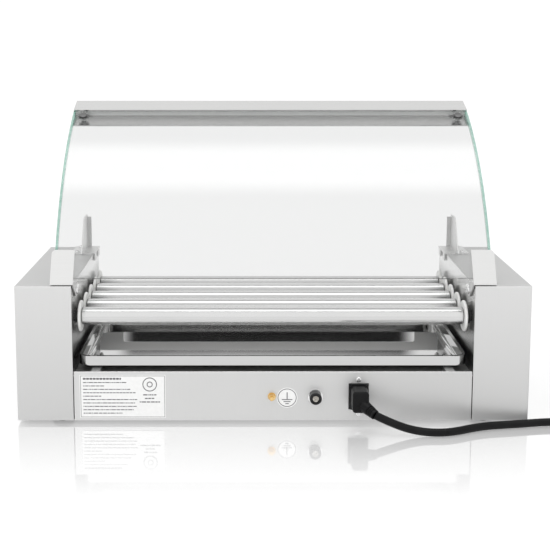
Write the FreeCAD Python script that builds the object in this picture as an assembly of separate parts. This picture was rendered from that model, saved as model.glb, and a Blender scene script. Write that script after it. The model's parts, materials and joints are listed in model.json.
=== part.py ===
import FreeCAD
import Part

import math
import os

# Hot dog roller grill with a curved glass hood, in millimetres.
# +X runs to the right and +Y from the mains inlet side to the operator's side, +Z is up.
# The origin is on the surface that the grill stands on, under the middle of its box.

# ---------------------------------------------------------------- driving dimensions

WIDTH = 580.0            # over the two side housings
DEPTH = 220.0            # of the housings
HOUSING_TOP = 160.0      # height of the housings' tops
FRONT_Y = -115.0         # plane of the housings' faces on the inlet side
WALL_IN = 226.3          # half the distance between the housings
SHEET = 1.2              # stainless sheet
FOOT_HEIGHT = 3.8
PANEL_TOP = 61.0         # of the mains inlet's panel, and of the rails that the tray slides on
DECK_TOP = 56.4          # sheet between the rails

ROLLER_COUNT = 5
ROLLER_R = 10.0
ROLLER_PITCH = 39.0
ROLLER_FIRST_DEPTH = 32.0
ROLLER_Z = 117.4
ROLLER_END = 219.3       # half the length of a tube
COLLAR_R = 17.8
COLLAR_THICK = 2.8
JOURNAL_R = 6.0
JOURNAL_BORE_R = 4.5
BUSH_R = 9.0
RUNNING_GAP = 0.05       # radial, of every shaft in its bush
ELEMENT_R = 3.5

CHAIN_X = 236.0          # middle plane of the chain drive
CHAIN_PITCH = 6.35
CHAIN_LINKS = 68
CHAIN_R = 13.6           # radius of the pins' path round a sprocket
SPROCKET_TEETH = 12
SPROCKET_TIP_R = 12.0
SPROCKET_ROOT_R = 9.8

HOOD_HALF_WIDTH = 246.5
GLASS_THICK = 5.0
GLASS_R = 335.0          # outer face of the bent glass
GLASS_CENTRE_DEPTH = 318.8
GLASS_CENTRE_HEIGHT = -115.9    # above the housings' tops
GLASS_LOW_HEIGHT = 7.0
GLASS_HIGH_HEIGHT = 183.0
HOOD_PIVOT_DEPTH = 24.0
HOOD_PIVOT_HEIGHT = -9.0        # above the housings' tops
PIVOT_R = 3.0

TRAY_HALF_WIDTH = 221.5
TRAY_DEPTHS = (12.0, 206.0)
TRAY_HEIGHT = 14.2
TRAY_SHEET = 0.8
TRAY_FLARE = 1.2         # how far the walls lean out
TRAY_RIM = 3.0
TRAY_RIM_DROP = 11.0     # depth of the skirt that hides the walls
TRAY_CORNER_R = 9.0
TRAY_BOTTOM_R = 5.0
TRAY_GAP = 0.3           # over the rails

PANEL_Z = 32.0           # height of the controls and of the inlet's centre line
SLOT_HALF_WIDTH = 195.0  # opening in the operator's panel, beyond the tray
SLOT_HEIGHTS = (74.0, 94.0)
OPERATOR_PANEL_TOP = 105.5
KNOB_X = 110.0
KNOB_R = 18.0
KNOB_OUT = 22.0          # from the panel to the knob's face
KNOB_SHAFT_R = 3.0
ROCKER_TILT = 8.0        # degrees either side of the middle
ROCKER_SINK = 2.0        # of the rocker's own axis behind the panel's face
ROCKER_PIN_R = 1.2

INLET_X = 97.1
FUSE_X = 48.1
EARTH_X = -1.3
EARTH_LABEL_X = 16.1
EARTH_LABEL_R = 11.8
LABEL_CENTRE_X = -170.2
LABEL_WIDTH = 97.2
LABEL_HEIGHTS = (6.8, 57.2)
LABEL_THICK = 0.2
FUSE_OUT = 9.5           # from the panel to the fuse cap's face

CORD_R = 4.5
CORD_EXIT = (112.0, -149.0, 22.5)
COIL_CENTRE = (400.0, -66.0)
COIL_RADII = (33.1, 61.3)
COIL_HEIGHT = 18.2


# ---------------------------------------------------------------- helpers

def y_at(depth):
    """Y of a plane so far behind the housings' faces on the inlet side."""
    return FRONT_Y + depth


def z_at(height):
    """Z of a level so far above the housings' tops."""
    return HOUSING_TOP + height


def vec(x, y, z):
    return FreeCAD.Vector(x, y, z)


AXIS_X = vec(1, 0, 0)
AXIS_Y = vec(0, 1, 0)
AXIS_Z = vec(0, 0, 1)


def box(x0, x1, y0, y1, z0, z1):
    return Part.makeBox(x1 - x0, y1 - y0, z1 - z0, vec(x0, y0, z0))


def cylinder_x(x0, x1, y, z, radius):
    return Part.makeCylinder(radius, x1 - x0, vec(x0, y, z), AXIS_X)


def cylinder_y(y0, y1, x, z, radius):
    return Part.makeCylinder(radius, y1 - y0, vec(x, y0, z), AXIS_Y)


def cylinder_z(z0, z1, x, y, radius):
    return Part.makeCylinder(radius, z1 - z0, vec(x, y, z0), AXIS_Z)


def prism_x(outline, x0, x1):
    """Extrude a (y, z) outline along X."""
    points = [vec(x0, y, z) for y, z in outline]
    face = Part.Face(Part.makePolygon(points + points[:1]))
    return face.extrude(vec(x1 - x0, 0, 0))


def mirrored(shape):
    return shape.mirror(vec(0, 0, 0), AXIS_X)


def turned_about_x(shape, y, z, degrees):
    copy = shape.copy()
    copy.rotate(vec(0, y, z), AXIS_X, degrees)
    return copy


def upright_edges(shape):
    return [edge for edge in shape.Edges
            if len(edge.Vertexes) == 2
            and abs(edge.Vertexes[0].X - edge.Vertexes[1].X) < 1e-6
            and abs(edge.Vertexes[0].Y - edge.Vertexes[1].Y) < 1e-6]


def rounded_face(x0, x1, y0, y1, z, radius):
    """A flat rectangle with round corners, as a face at height z."""
    block = box(x0, x1, y0, y1, z, z + 1)
    block = block.makeFillet(radius, upright_edges(block))
    return [face for face in block.Faces if abs(face.CenterOfMass.z - z) < 1e-6][0]


def rounded_plate_y(x, z, width, height, y0, y1, radius):
    """A plate in the XZ plane with round corners."""
    block = box(x - width / 2, x + width / 2, y0, y1, z - height / 2, z + height / 2)
    edges = [edge for edge in block.Edges
             if abs(edge.Vertexes[0].Y - edge.Vertexes[1].Y) > 1e-6]
    return block.makeFillet(radius, edges)


def group(shapes):
    return shapes[0] if len(shapes) == 1 else Part.makeCompound(shapes)


def both_sides(shape):
    return group([shape, mirrored(shape)])


def roller_depth(index):
    return ROLLER_FIRST_DEPTH + ROLLER_PITCH * index


def polar(centre, radius, degrees):
    angle = math.radians(degrees)
    return (centre[0] + radius * math.cos(angle), centre[1] + radius * math.sin(angle))


# ---------------------------------------------------------------- sheet metal frame

BASE_Z = FOOT_HEIGHT
BASE_TOP = FOOT_HEIGHT + SHEET
BACK_Y = FRONT_Y + DEPTH
FOLD_R = 1.6


def base_pan():
    x = WIDTH / 2 - SHEET
    pan = box(-x, x, FRONT_Y + SHEET, BACK_Y - SHEET, BASE_Z, BASE_TOP)
    for x in range(-60, 61, 12):
        pan = pan.cut(box(x - 2, x + 2, -30, 10, BASE_Z - 1, BASE_TOP + 1))
    for x, y in foot_places():
        pan = pan.cut(cylinder_z(BASE_Z - 1, BASE_TOP + 1, x, y, 2.1))
    return pan


VENT_HEIGHT = 34.0
VENT_WIDTH = 3.0


def housing_cover():
    """Right-hand housing: a folded cover, open below and towards the inner wall."""
    x1 = WIDTH / 2
    outer = box(WALL_IN, x1, FRONT_Y, BACK_Y, BASE_Z, HOUSING_TOP)
    folds = [edge for edge in outer.Edges
             if edge.CenterOfMass.x > x1 - 1e-6 and edge.CenterOfMass.z > BASE_Z + 1
             or edge.CenterOfMass.z > HOUSING_TOP - 1e-6 and edge.CenterOfMass.x > WALL_IN + 1]
    outer = outer.makeFillet(FOLD_R, folds)
    inner = box(WALL_IN - 1, x1 - SHEET, FRONT_Y + SHEET, BACK_Y - SHEET,
                BASE_Z - 1, HOUSING_TOP - SHEET)
    cover = outer.cut(inner)
    for step in range(7):
        y = -36 + 12 * step
        slot = box(x1 - 3, x1 + 1, y - VENT_WIDTH / 2, y + VENT_WIDTH / 2,
                   30, 30 + VENT_HEIGHT)
        cover = cover.cut(slot)
    return cover


def inner_wall():
    """Right-hand inner wall, which holds the rollers' bushes and a hood pivot."""
    wall = box(WALL_IN, WALL_IN + SHEET, FRONT_Y + SHEET, BACK_Y - SHEET,
               BASE_TOP, HOUSING_TOP - SHEET)
    for index in range(ROLLER_COUNT):
        wall = wall.cut(cylinder_x(WALL_IN - 1, WALL_IN + 3, y_at(roller_depth(index)),
                                   ROLLER_Z, BUSH_R + 0.05))
    pivot = cylinder_x(WALL_IN - 1, WALL_IN + 3, y_at(HOOD_PIVOT_DEPTH),
                       z_at(HOOD_PIVOT_HEIGHT), PIVOT_R + 0.1)
    return wall.cut(pivot)


PANEL_SEAM = 1.1         # open seam between the mains inlet's panel and each housing


def service_panel():
    """Panel with the mains inlet, rounded over along its top edge."""
    x = WALL_IN - PANEL_SEAM
    panel = box(-x, x, FRONT_Y, FRONT_Y + SHEET, BASE_Z, PANEL_TOP)
    top_edge = [edge for edge in panel.Edges
                if abs(edge.CenterOfMass.y - FRONT_Y) < 1e-6 and edge.CenterOfMass.z > PANEL_TOP - 1e-6]
    panel = panel.makeFillet(SHEET * 0.9, top_edge)
    y0 = FRONT_Y - 1
    y1 = FRONT_Y + SHEET + 1
    panel = panel.cut(box(INLET_X - 11.4, INLET_X + 11.4, y0, y1, PANEL_Z - 15.4, PANEL_Z + 15.4))
    for z in inlet_screw_heights():
        panel = panel.cut(cylinder_y(y0, y1, INLET_X, z, 1.6))
    panel = panel.cut(cylinder_y(y0, y1, FUSE_X, PANEL_Z, 6.1))
    return panel.cut(cylinder_y(y0, y1, EARTH_X, PANEL_Z, 2.1))


RAIL_X = (196.0, 206.0)


def tray_deck():
    """Sheet under the tray, with two hollow rails that the tray slides on."""
    x = WALL_IN - 0.2
    y0 = FRONT_Y + SHEET
    y1 = BACK_Y - SHEET
    deck = box(-x, x, y0, y1, DECK_TOP - SHEET, DECK_TOP)
    rail = box(RAIL_X[0], RAIL_X[1], y0, y1, DECK_TOP - 0.1, PANEL_TOP)
    hollow = box(RAIL_X[0] + SHEET, RAIL_X[1] - SHEET, y0 - 1, y1 + 1, DECK_TOP, PANEL_TOP - SHEET)
    rail = rail.cut(hollow)
    return deck.fuse([rail, mirrored(rail)]).removeSplitter()


def operator_panel():
    """Control panel, which rises past the tray and has a long opening over the deck."""
    x = WALL_IN - 0.2
    y0 = BACK_Y - SHEET
    panel = box(-x, x, y0, BACK_Y, BASE_Z, OPERATOR_PANEL_TOP)
    middle = sum(SLOT_HEIGHTS) / 2
    height = SLOT_HEIGHTS[1] - SLOT_HEIGHTS[0]
    panel = panel.cut(rounded_plate_y(0, middle, 2 * SLOT_HALF_WIDTH, height,
                                      y0 - 1, BACK_Y + 1, 3.0))
    panel = panel.cut(box(-13.6, 13.6, y0 - 1, BACK_Y + 1, PANEL_Z - 11.1, PANEL_Z + 11.1))
    for side in (-1, 1):
        panel = panel.cut(cylinder_y(y0 - 1, BACK_Y + 1, side * KNOB_X, PANEL_Z, 4.5))
        panel = panel.cut(cylinder_y(y0 - 1, BACK_Y + 1, side * LAMP_X, PANEL_Z, 4.1))
    return panel


# ---------------------------------------------------------------- rollers and their drive

def roller_tube(index):
    """Thin tube with a plugged, hollow journal at each end, all one turned piece."""
    y = y_at(roller_depth(index))
    plug = 6.0
    tube = cylinder_x(-ROLLER_END, ROLLER_END, y, ROLLER_Z, ROLLER_R)
    edges = [edge for edge in tube.Edges if len(edge.Vertexes) == 1]
    tube = tube.makeChamfer(0.8, edges)
    tube = tube.fuse([cylinder_x(-242, 248, y, ROLLER_Z, JOURNAL_R)])
    tube = tube.cut(cylinder_x(-ROLLER_END + plug, ROLLER_END - plug, y, ROLLER_Z,
                               ROLLER_R - SHEET))
    return tube.cut(cylinder_x(-250, 250, y, ROLLER_Z, JOURNAL_BORE_R)).removeSplitter()


def roller_collars(index):
    """Heat-proof plastic discs that keep food and grease off the bushes."""
    y = y_at(roller_depth(index))
    disc = cylinder_x(ROLLER_END, ROLLER_END + COLLAR_THICK, y, ROLLER_Z, COLLAR_R)
    edges = [edge for edge in disc.Edges if len(edge.Vertexes) == 1]
    disc = disc.makeChamfer(0.7, edges)
    bore = cylinder_x(ROLLER_END - 1, ROLLER_END + 9, y, ROLLER_Z, JOURNAL_R + 0.05)
    return both_sides(disc.cut(bore))


def sprocket(y, z, bore):
    """Toothed disc with a hub, in the chain's plane."""
    half = 1.2
    outline = []
    for tooth in range(SPROCKET_TEETH):
        step = 360.0 / SPROCKET_TEETH
        start = tooth * step
        for radius, part in ((SPROCKET_ROOT_R, 0.08), (SPROCKET_TIP_R, 0.36),
                             (SPROCKET_TIP_R, 0.64), (SPROCKET_ROOT_R, 0.92)):
            outline.append(polar((y, z), radius, start + part * step))
    disc = prism_x(outline, CHAIN_X - half, CHAIN_X + half)
    hub = cylinder_x(CHAIN_X - 4, CHAIN_X + 7, y, z, 8.4)
    wheel = disc.fuse([hub])
    if bore:
        wheel = wheel.cut(cylinder_x(CHAIN_X - 9, CHAIN_X + 12, y, z, bore))
    return wheel.removeSplitter()


def roller_sprocket(index):
    return sprocket(y_at(roller_depth(index)), ROLLER_Z, JOURNAL_R + 0.02)


def roller_bushes():
    """Flanged plain bearings, one in each wall for every roller."""
    shapes = []
    for index in range(ROLLER_COUNT):
        y = y_at(roller_depth(index))
        bush = cylinder_x(WALL_IN - 0.3, WALL_IN + 4.2, y, ROLLER_Z, BUSH_R)
        flange = cylinder_x(WALL_IN + SHEET, WALL_IN + SHEET + 1.6, y, ROLLER_Z, BUSH_R + 3)
        bore = cylinder_x(WALL_IN - 2, WALL_IN + 8, y, ROLLER_Z, JOURNAL_R + RUNNING_GAP)
        bush = bush.fuse([flange]).cut(bore).removeSplitter()
        shapes += [bush, mirrored(bush)]
    return group(shapes)


ELEMENT_END = 262.0
ELEMENT_PLATE_X = 254.0


def heating_elements():
    """Straight tubular elements, which stay still inside the turning rollers."""
    return group([cylinder_x(-ELEMENT_END, ELEMENT_END, y_at(roller_depth(index)), ROLLER_Z,
                             ELEMENT_R)
                  for index in range(ROLLER_COUNT)])


def element_brackets():
    """A strip in each housing, on two legs from the inner wall, that holds the elements."""
    thick = BRACKET_SHEET
    first = y_at(roller_depth(0)) - 18
    last = y_at(roller_depth(ROLLER_COUNT - 1)) + 18
    low = ROLLER_Z - 10
    high = ROLLER_Z + 10
    wall = WALL_IN + SHEET
    strip = box(ELEMENT_PLATE_X, ELEMENT_PLATE_X + thick, first, last, low, high)
    legs = [box(wall, ELEMENT_PLATE_X, y, y + thick, low, high)
            for y in (first, last - thick)]
    bracket = strip.fuse(legs)
    for index in range(ROLLER_COUNT):
        hole = cylinder_x(ELEMENT_PLATE_X - 2, ELEMENT_PLATE_X + 4, y_at(roller_depth(index)),
                          ROLLER_Z, ELEMENT_R + 0.05)
        bracket = bracket.cut(hole)
    return both_sides(bracket.removeSplitter())


def motor_centre():
    """The motor's sprocket hangs below the middle roller, where the chain is just taut."""
    first = y_at(roller_depth(0))
    last = y_at(roller_depth(ROLLER_COUNT - 1))
    side = (CHAIN_PITCH * CHAIN_LINKS - 2 * math.pi * CHAIN_R - (last - first)) / 2
    half = (last - first) / 2
    return ((first + last) / 2, ROLLER_Z - math.sqrt(side ** 2 - half ** 2))


MOTOR_PLATE_X = 243.0
MOTOR_SHAFT_R = 4.0
BRACKET_SHEET = 1.5


def motor_sprocket():
    y, z = motor_centre()
    shaft = cylinder_x(CHAIN_X - 5, MOTOR_PLATE_X + 14, y, z, MOTOR_SHAFT_R)
    return sprocket(y, z, 0).fuse([shaft]).removeSplitter()


def motor_bracket():
    y, z = motor_centre()
    plate = box(MOTOR_PLATE_X, MOTOR_PLATE_X + BRACKET_SHEET, y - 35, y + 35, BASE_TOP, z + 38)
    foot = box(MOTOR_PLATE_X, MOTOR_PLATE_X + 26, y - 35, y + 35, BASE_TOP,
               BASE_TOP + BRACKET_SHEET)
    hole = cylinder_x(MOTOR_PLATE_X - 2, MOTOR_PLATE_X + 4, y, z, 5.0)
    return plate.fuse([foot]).cut(hole).removeSplitter()


def gear_motor():
    """Flat gearbox with a round synchronous motor behind it."""
    y, z = motor_centre()
    x = MOTOR_PLATE_X + BRACKET_SHEET
    gearbox = box(x, x + 17, y - 26, y + 26, z - 22, z + 36)
    edges = [edge for edge in gearbox.Edges
             if abs(edge.Vertexes[0].X - edge.Vertexes[1].X) > 1e-6]
    gearbox = gearbox.makeFillet(7, edges)
    gearbox = gearbox.cut(cylinder_x(x - 1, x + 14, y, z, MOTOR_SHAFT_R + RUNNING_GAP))
    motor = cylinder_x(x + 17, x + 40, y, z + 7, 25)
    return gearbox.fuse([motor]).removeSplitter()


def chain_points():
    """Pin centres, equally spaced along the chain's closed path, as (y, z)."""
    first = (y_at(roller_depth(0)), ROLLER_Z)
    last = (y_at(roller_depth(ROLLER_COUNT - 1)), ROLLER_Z)
    wheels = [first, last, motor_centre()]
    pieces = []
    for index, centre in enumerate(wheels):
        before = wheels[index - 1]
        after = wheels[(index + 1) % 3]
        heading_in = math.degrees(math.atan2(centre[1] - before[1], centre[0] - before[0]))
        heading_out = math.degrees(math.atan2(after[1] - centre[1], after[0] - centre[0]))
        turn = (heading_in - heading_out) % 360
        pieces.append((centre, heading_in + 90, turn, math.dist(centre, after), heading_out))
    points = []
    for link in range(CHAIN_LINKS):
        distance = link * CHAIN_PITCH
        for centre, start, turn, run, heading in pieces:
            arc = CHAIN_R * math.radians(turn)
            if distance < arc:
                points.append(polar(centre, CHAIN_R, start - math.degrees(distance / CHAIN_R)))
                break
            distance -= arc
            if distance < run:
                points.append(polar(polar(centre, CHAIN_R, heading + 90), distance, heading))
                break
            distance -= run
    return points


LINK_R = 2.5
LINK_SHEET = 0.8
PIN_R = 1.15
PIN_BORE_R = 1.2


def link_plate(start, end, x0, x1):
    """A waisted link plate with a hole for each pin."""
    heading = math.degrees(math.atan2(end[1] - start[1], end[0] - start[0]))
    half = LINK_R * 0.75
    waist = [polar(start, half, heading + 90), polar(end, half, heading + 90),
             polar(end, half, heading - 90), polar(start, half, heading - 90)]
    plate = prism_x(waist, x0, x1)
    plate = plate.fuse([cylinder_x(x0, x1, point[0], point[1], LINK_R) for point in (start, end)])
    for point in (start, end):
        plate = plate.cut(cylinder_x(x0 - 1, x1 + 1, point[0], point[1], PIN_BORE_R))
    return plate


def drive_chain():
    """Roller chain over all five sprockets and round the motor's, in alternate links."""
    points = chain_points()
    shapes = []
    for index, point in enumerate(points):
        after = points[(index + 1) % len(points)]
        inside = 1.6 if index % 2 == 0 else 2.5
        for side in (-1, 1):
            faces = sorted((CHAIN_X + side * inside, CHAIN_X + side * (inside + LINK_SHEET)))
            shapes.append(link_plate(point, after, faces[0], faces[1]))
        shapes.append(cylinder_x(CHAIN_X - 3.6, CHAIN_X + 3.6, point[0], point[1], PIN_R))
    return group(shapes)


# ---------------------------------------------------------------- hood

GLASS_CENTRE = (y_at(GLASS_CENTRE_DEPTH), z_at(GLASS_CENTRE_HEIGHT))


def glass_angle(height):
    """Direction from the glass's centre to its outer face at a height over the housings."""
    return 180 - math.degrees(math.asin((height - GLASS_CENTRE_HEIGHT) / GLASS_R))


def glass_point(radius, height):
    return polar(GLASS_CENTRE, radius, glass_angle(height))


def arc_edge(x, radius, start, end):
    points = [polar(GLASS_CENTRE, radius, angle) for angle in (start, (start + end) / 2, end)]
    return Part.Arc(*[vec(x, y, z) for y, z in points]).toShape()


def hood_glass():
    """Bent pane: flat across and one arc from its low edge to the top bar."""
    low = glass_angle(GLASS_LOW_HEIGHT)
    high = glass_angle(GLASS_HIGH_HEIGHT)
    x = -HOOD_HALF_WIDTH
    inner_r = GLASS_R - GLASS_THICK
    outer = arc_edge(x, GLASS_R, low, high)
    inner = arc_edge(x, inner_r, high, low)
    ends = [Part.LineSegment(vec(x, *polar(GLASS_CENTRE, GLASS_R, high)),
                             vec(x, *polar(GLASS_CENTRE, inner_r, high))).toShape(),
            Part.LineSegment(vec(x, *polar(GLASS_CENTRE, inner_r, low)),
                             vec(x, *polar(GLASS_CENTRE, GLASS_R, low))).toShape()]
    face = Part.Face(Part.Wire([outer, ends[0], inner, ends[1]]))
    pane = face.extrude(vec(2 * HOOD_HALF_WIDTH, 0, 0))
    for side in (-1, 1):
        pane = pane.cut(bar_screw_part(side, BAR_SCREW_R + 0.6, -12, 6))
    return pane


# Along the glass at its top edge, and outwards from its outer face there.
GLASS_TOP = glass_point(GLASS_R, GLASS_HIGH_HEIGHT)
TOP_SLOPE = glass_angle(GLASS_HIGH_HEIGHT) - 90
BAR_SLOPE = 20.0
BAR_SHEET = 1.5
BAR_LOWER_WIDTH = 22.0
BAR_UPPER_WIDTH = 29.0
BAR_GAP = 1.3            # between the glass and the flange under it
BAR_SCREW_X = 233.0
BAR_SCREW_R = 2.5
BAR_SCREW_BACK = 11.0    # from the glass's top edge to the screws


def from_glass_top(along, out):
    point = polar(GLASS_TOP, along, TOP_SLOPE)
    return polar(point, out, TOP_SLOPE + 90)


def hood_top_bar():
    """Bent strip: one flange under the glass, a step, and one flange beyond its edge."""
    under = -(GLASS_THICK + BAR_GAP)
    step = from_glass_top(1.0, 2.0)
    far_top = polar(step, BAR_UPPER_WIDTH, BAR_SLOPE)
    far_low = polar(far_top, BAR_SHEET, BAR_SLOPE - 90)
    lip_low = polar(far_low, 7, -90)
    lip_in = (lip_low[0] - BAR_SHEET, lip_low[1])
    lip_top = (lip_in[0], far_low[1] - BAR_SHEET * math.tan(math.radians(BAR_SLOPE)))
    outline = [from_glass_top(-BAR_LOWER_WIDTH, under), from_glass_top(1.0, under), step, far_top,
               (far_top[0], far_low[1]), (far_top[0], lip_low[1]), lip_in, lip_top,
               from_glass_top(1.0 + BAR_SHEET, 0.6),
               from_glass_top(1.0 + BAR_SHEET, under - BAR_SHEET),
               from_glass_top(-BAR_LOWER_WIDTH, under - BAR_SHEET)]
    bar = prism_x(outline, -HOOD_HALF_WIDTH, HOOD_HALF_WIDTH)
    for side in (-1, 1):
        bar = bar.cut(bar_screw_part(side, BAR_SCREW_R + 0.05, -12, 6))
    return bar


def bar_screw_part(side, radius, low, high):
    """A cylinder across the glass at a bar screw, from low to high over its outer face."""
    y, z = from_glass_top(-BAR_SCREW_BACK, low)
    tilt = math.radians(TOP_SLOPE + 90)
    direction = vec(0, math.cos(tilt), math.sin(tilt))
    return Part.makeCylinder(radius, high - low, vec(side * BAR_SCREW_X, y, z), direction)


def bar_screws():
    """Dome-headed screws with washers that clamp the glass to the top bar."""
    shapes = []
    for side in (-1, 1):
        head = bar_screw_part(side, 5.0, 0.6, 3.0)
        edges = [edge for edge in head.Edges if len(edge.Vertexes) == 1]
        head = head.makeFillet(1.1, edges[:1])
        washer = bar_screw_part(side, 6.5, 0.05, 0.6)
        shank = bar_screw_part(side, BAR_SCREW_R, -11, 0.6)
        nut = bar_screw_part(side, 4.4, -10.4, -7.9)
        shapes.append(head.fuse([washer, shank, nut]).removeSplitter())
    return group(shapes)


CLAMP_INNER = WALL_IN - 2.1     # inner face of an ear, beside the rollers' collars
CLAMP_OUTER = 250.0
CLAMP_SHEET = 1.5
CLAMP_LEAN = 27.3               # degrees from upright
CLAMP_LENGTH = 40.8
CLAMP_LOW = (y_at(0.2), z_at(1.1))
CLAMP_CORNER_R = 5.0
LIP_HEIGHT = 0.9                # of the lip under the glass, above the housings


def hood_clamp():
    """Right-hand clamp: a leaning plate before the glass, a lip under it and a pivot ear."""
    top = polar(CLAMP_LOW, CLAMP_LENGTH, 90 - CLAMP_LEAN)
    back = -CLAMP_LEAN
    plate = prism_x([CLAMP_LOW, top, polar(top, CLAMP_SHEET, back),
                     polar(CLAMP_LOW, CLAMP_SHEET, back)], CLAMP_INNER, CLAMP_OUTER)
    corner = [edge for edge in plate.Edges
              if edge.CenterOfMass.x > CLAMP_OUTER - 1e-6 and edge.Length < 2 * CLAMP_SHEET
              and edge.CenterOfMass.z > (CLAMP_LOW[1] + top[1]) / 2]
    plate = plate.makeFillet(CLAMP_CORNER_R, corner)
    below = z_at(LIP_HEIGHT)
    plate = plate.cut(box(CLAMP_INNER - 1, CLAMP_OUTER + 1, FRONT_Y - 9, FRONT_Y + 9,
                          below - 9, below))
    lip = box(CLAMP_INNER, CLAMP_OUTER, y_at(0.7), y_at(14.5), below, below + CLAMP_SHEET)
    pivot = (y_at(HOOD_PIVOT_DEPTH), z_at(HOOD_PIVOT_HEIGHT))
    ear_r = 8.5
    ear_x = (CLAMP_INNER, CLAMP_INNER + CLAMP_SHEET)
    web = prism_x([(y_at(1.2), below), (y_at(1.2), below + CLAMP_SHEET),
                   (y_at(14.5), below + CLAMP_SHEET), polar(pivot, ear_r, 48),
                   polar(pivot, ear_r, -42), polar(pivot, ear_r, 232)], *ear_x)
    ear = web.fuse([cylinder_x(ear_x[0], ear_x[1], pivot[0], pivot[1], ear_r)])
    clamp = plate.fuse([lip, ear])
    hole = cylinder_x(ear_x[0] - 1, ear_x[1] + 1, pivot[0], pivot[1], PIVOT_R + RUNNING_GAP)
    return clamp.cut(hole).removeSplitter()


def hood_pads():
    """Rubber strips between the clamps and the glass, in front of it and under it."""
    front = polar(CLAMP_LOW, CLAMP_SHEET + 0.02, -CLAMP_LEAN)
    start = polar(front, 10, 90 - CLAMP_LEAN)
    end = polar(front, 28, 90 - CLAMP_LEAN)
    thick = 2.5
    strip = prism_x([start, end, polar(end, thick, -CLAMP_LEAN), polar(start, thick, -CLAMP_LEAN)],
                    WALL_IN + 1, HOOD_HALF_WIDTH - 2)
    strip = strip.cut(cylinder_x(0, HOOD_HALF_WIDTH, *GLASS_CENTRE, GLASS_R + 0.04))
    rest = box(WALL_IN + 1, HOOD_HALF_WIDTH - 2, y_at(6.5), y_at(13.5),
               z_at(LIP_HEIGHT + CLAMP_SHEET), z_at(4.6))
    return group([strip, rest, mirrored(strip), mirrored(rest)])


def hood_pivot_screws():
    """Shoulder screws on which the clamps' ears turn, with nuts inside the housings."""
    y = y_at(HOOD_PIVOT_DEPTH)
    z = z_at(HOOD_PIVOT_HEIGHT)
    head = cylinder_x(CLAMP_INNER - 3.2, CLAMP_INNER - 0.1, y, z, 5.5)
    head = head.makeFillet(1.6, [edge for edge in head.Edges
                                 if len(edge.Vertexes) == 1 and edge.CenterOfMass.x < CLAMP_INNER - 2])
    slot = box(CLAMP_INNER - 4, CLAMP_INNER - 2.2, y - 6, y + 6, z - 0.6, z + 0.6)
    shank = cylinder_x(CLAMP_INNER - 0.2, WALL_IN + 8, y, z, PIVOT_R)
    nut = hexagon_x(WALL_IN + SHEET, WALL_IN + SHEET + 3.5, y, z, 5.5)
    screw = head.cut(slot).fuse([shank, nut]).removeSplitter()
    return both_sides(screw)


def hexagon_x(x0, x1, y, z, radius):
    return prism_x([polar((y, z), radius, 60 * corner) for corner in range(6)], x0, x1)


# ---------------------------------------------------------------- brackets that the hood comes down on

FIN_X = 239.5
FIN_SHEET = 1.5
FIN_DEPTHS = (166.0, 192.0, 218.0)      # low front corner, high front corner, upright edge
FIN_HEIGHT = 44.0
BRACKET_X = (WALL_IN - 2.2, 255.0)
BRACKET_DEPTHS = (171.0, 218.0)


def rest_bracket():
    """Right-hand bracket: a foot on the housing and an upright fin with a folded edge."""
    top = HOUSING_TOP
    foot = box(BRACKET_X[0], BRACKET_X[1], y_at(BRACKET_DEPTHS[0]), y_at(BRACKET_DEPTHS[1]),
               top, top + FIN_SHEET)
    outline = [(y_at(FIN_DEPTHS[0]), top + FIN_SHEET), (y_at(FIN_DEPTHS[2]), top + FIN_SHEET),
               (y_at(FIN_DEPTHS[2]), top + FIN_HEIGHT), (y_at(FIN_DEPTHS[1]), top + FIN_HEIGHT)]
    outline.insert(1, (y_at(BRACKET_DEPTHS[0]), top + FIN_SHEET))
    fin = prism_x(outline, FIN_X, FIN_X + FIN_SHEET)
    fold = box(FIN_X - 5, FIN_X + 0.2, y_at(FIN_DEPTHS[2]) - FIN_SHEET, y_at(FIN_DEPTHS[2]),
               top + FIN_SHEET - 0.2, top + FIN_HEIGHT - 3)
    tabs = [box(BRACKET_X[0], BRACKET_X[0] + FIN_SHEET, y_at(depth), y_at(depth + 12),
                top - 9, top + 0.2)
            for depth in (BRACKET_DEPTHS[0] + 4, BRACKET_DEPTHS[1] - 16)]
    return foot.fuse([fin, fold] + tabs).removeSplitter()


def bracket_screw_places():
    return [(247.5, y_at(179.0)), (247.5, y_at(210.0))]


# ---------------------------------------------------------------- drip tray

def tray_block(inset, low, high):
    """The tray's leaning block, drawn in from its outer faces by inset."""
    x = TRAY_HALF_WIDTH - TRAY_RIM - inset
    y0 = y_at(TRAY_DEPTHS[0] + TRAY_RIM + inset)
    y1 = y_at(TRAY_DEPTHS[1] - TRAY_RIM - inset)
    radius = TRAY_CORNER_R - inset
    wires = []
    for z, lean in ((low, TRAY_FLARE), (high, 0)):
        face = rounded_face(-x + lean, x - lean, y0 + lean, y1 - lean, z, radius)
        wires.append(face.OuterWire)
    return Part.makeLoft(wires, True, True)


def round_bottom(block, radius):
    """Round off the edges all round a block's lowest face."""
    low = block.BoundBox.ZMin
    return block.makeFillet(radius, [edge for edge in block.Edges
                                     if edge.BoundBox.ZMax < low + 1e-3])


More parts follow.
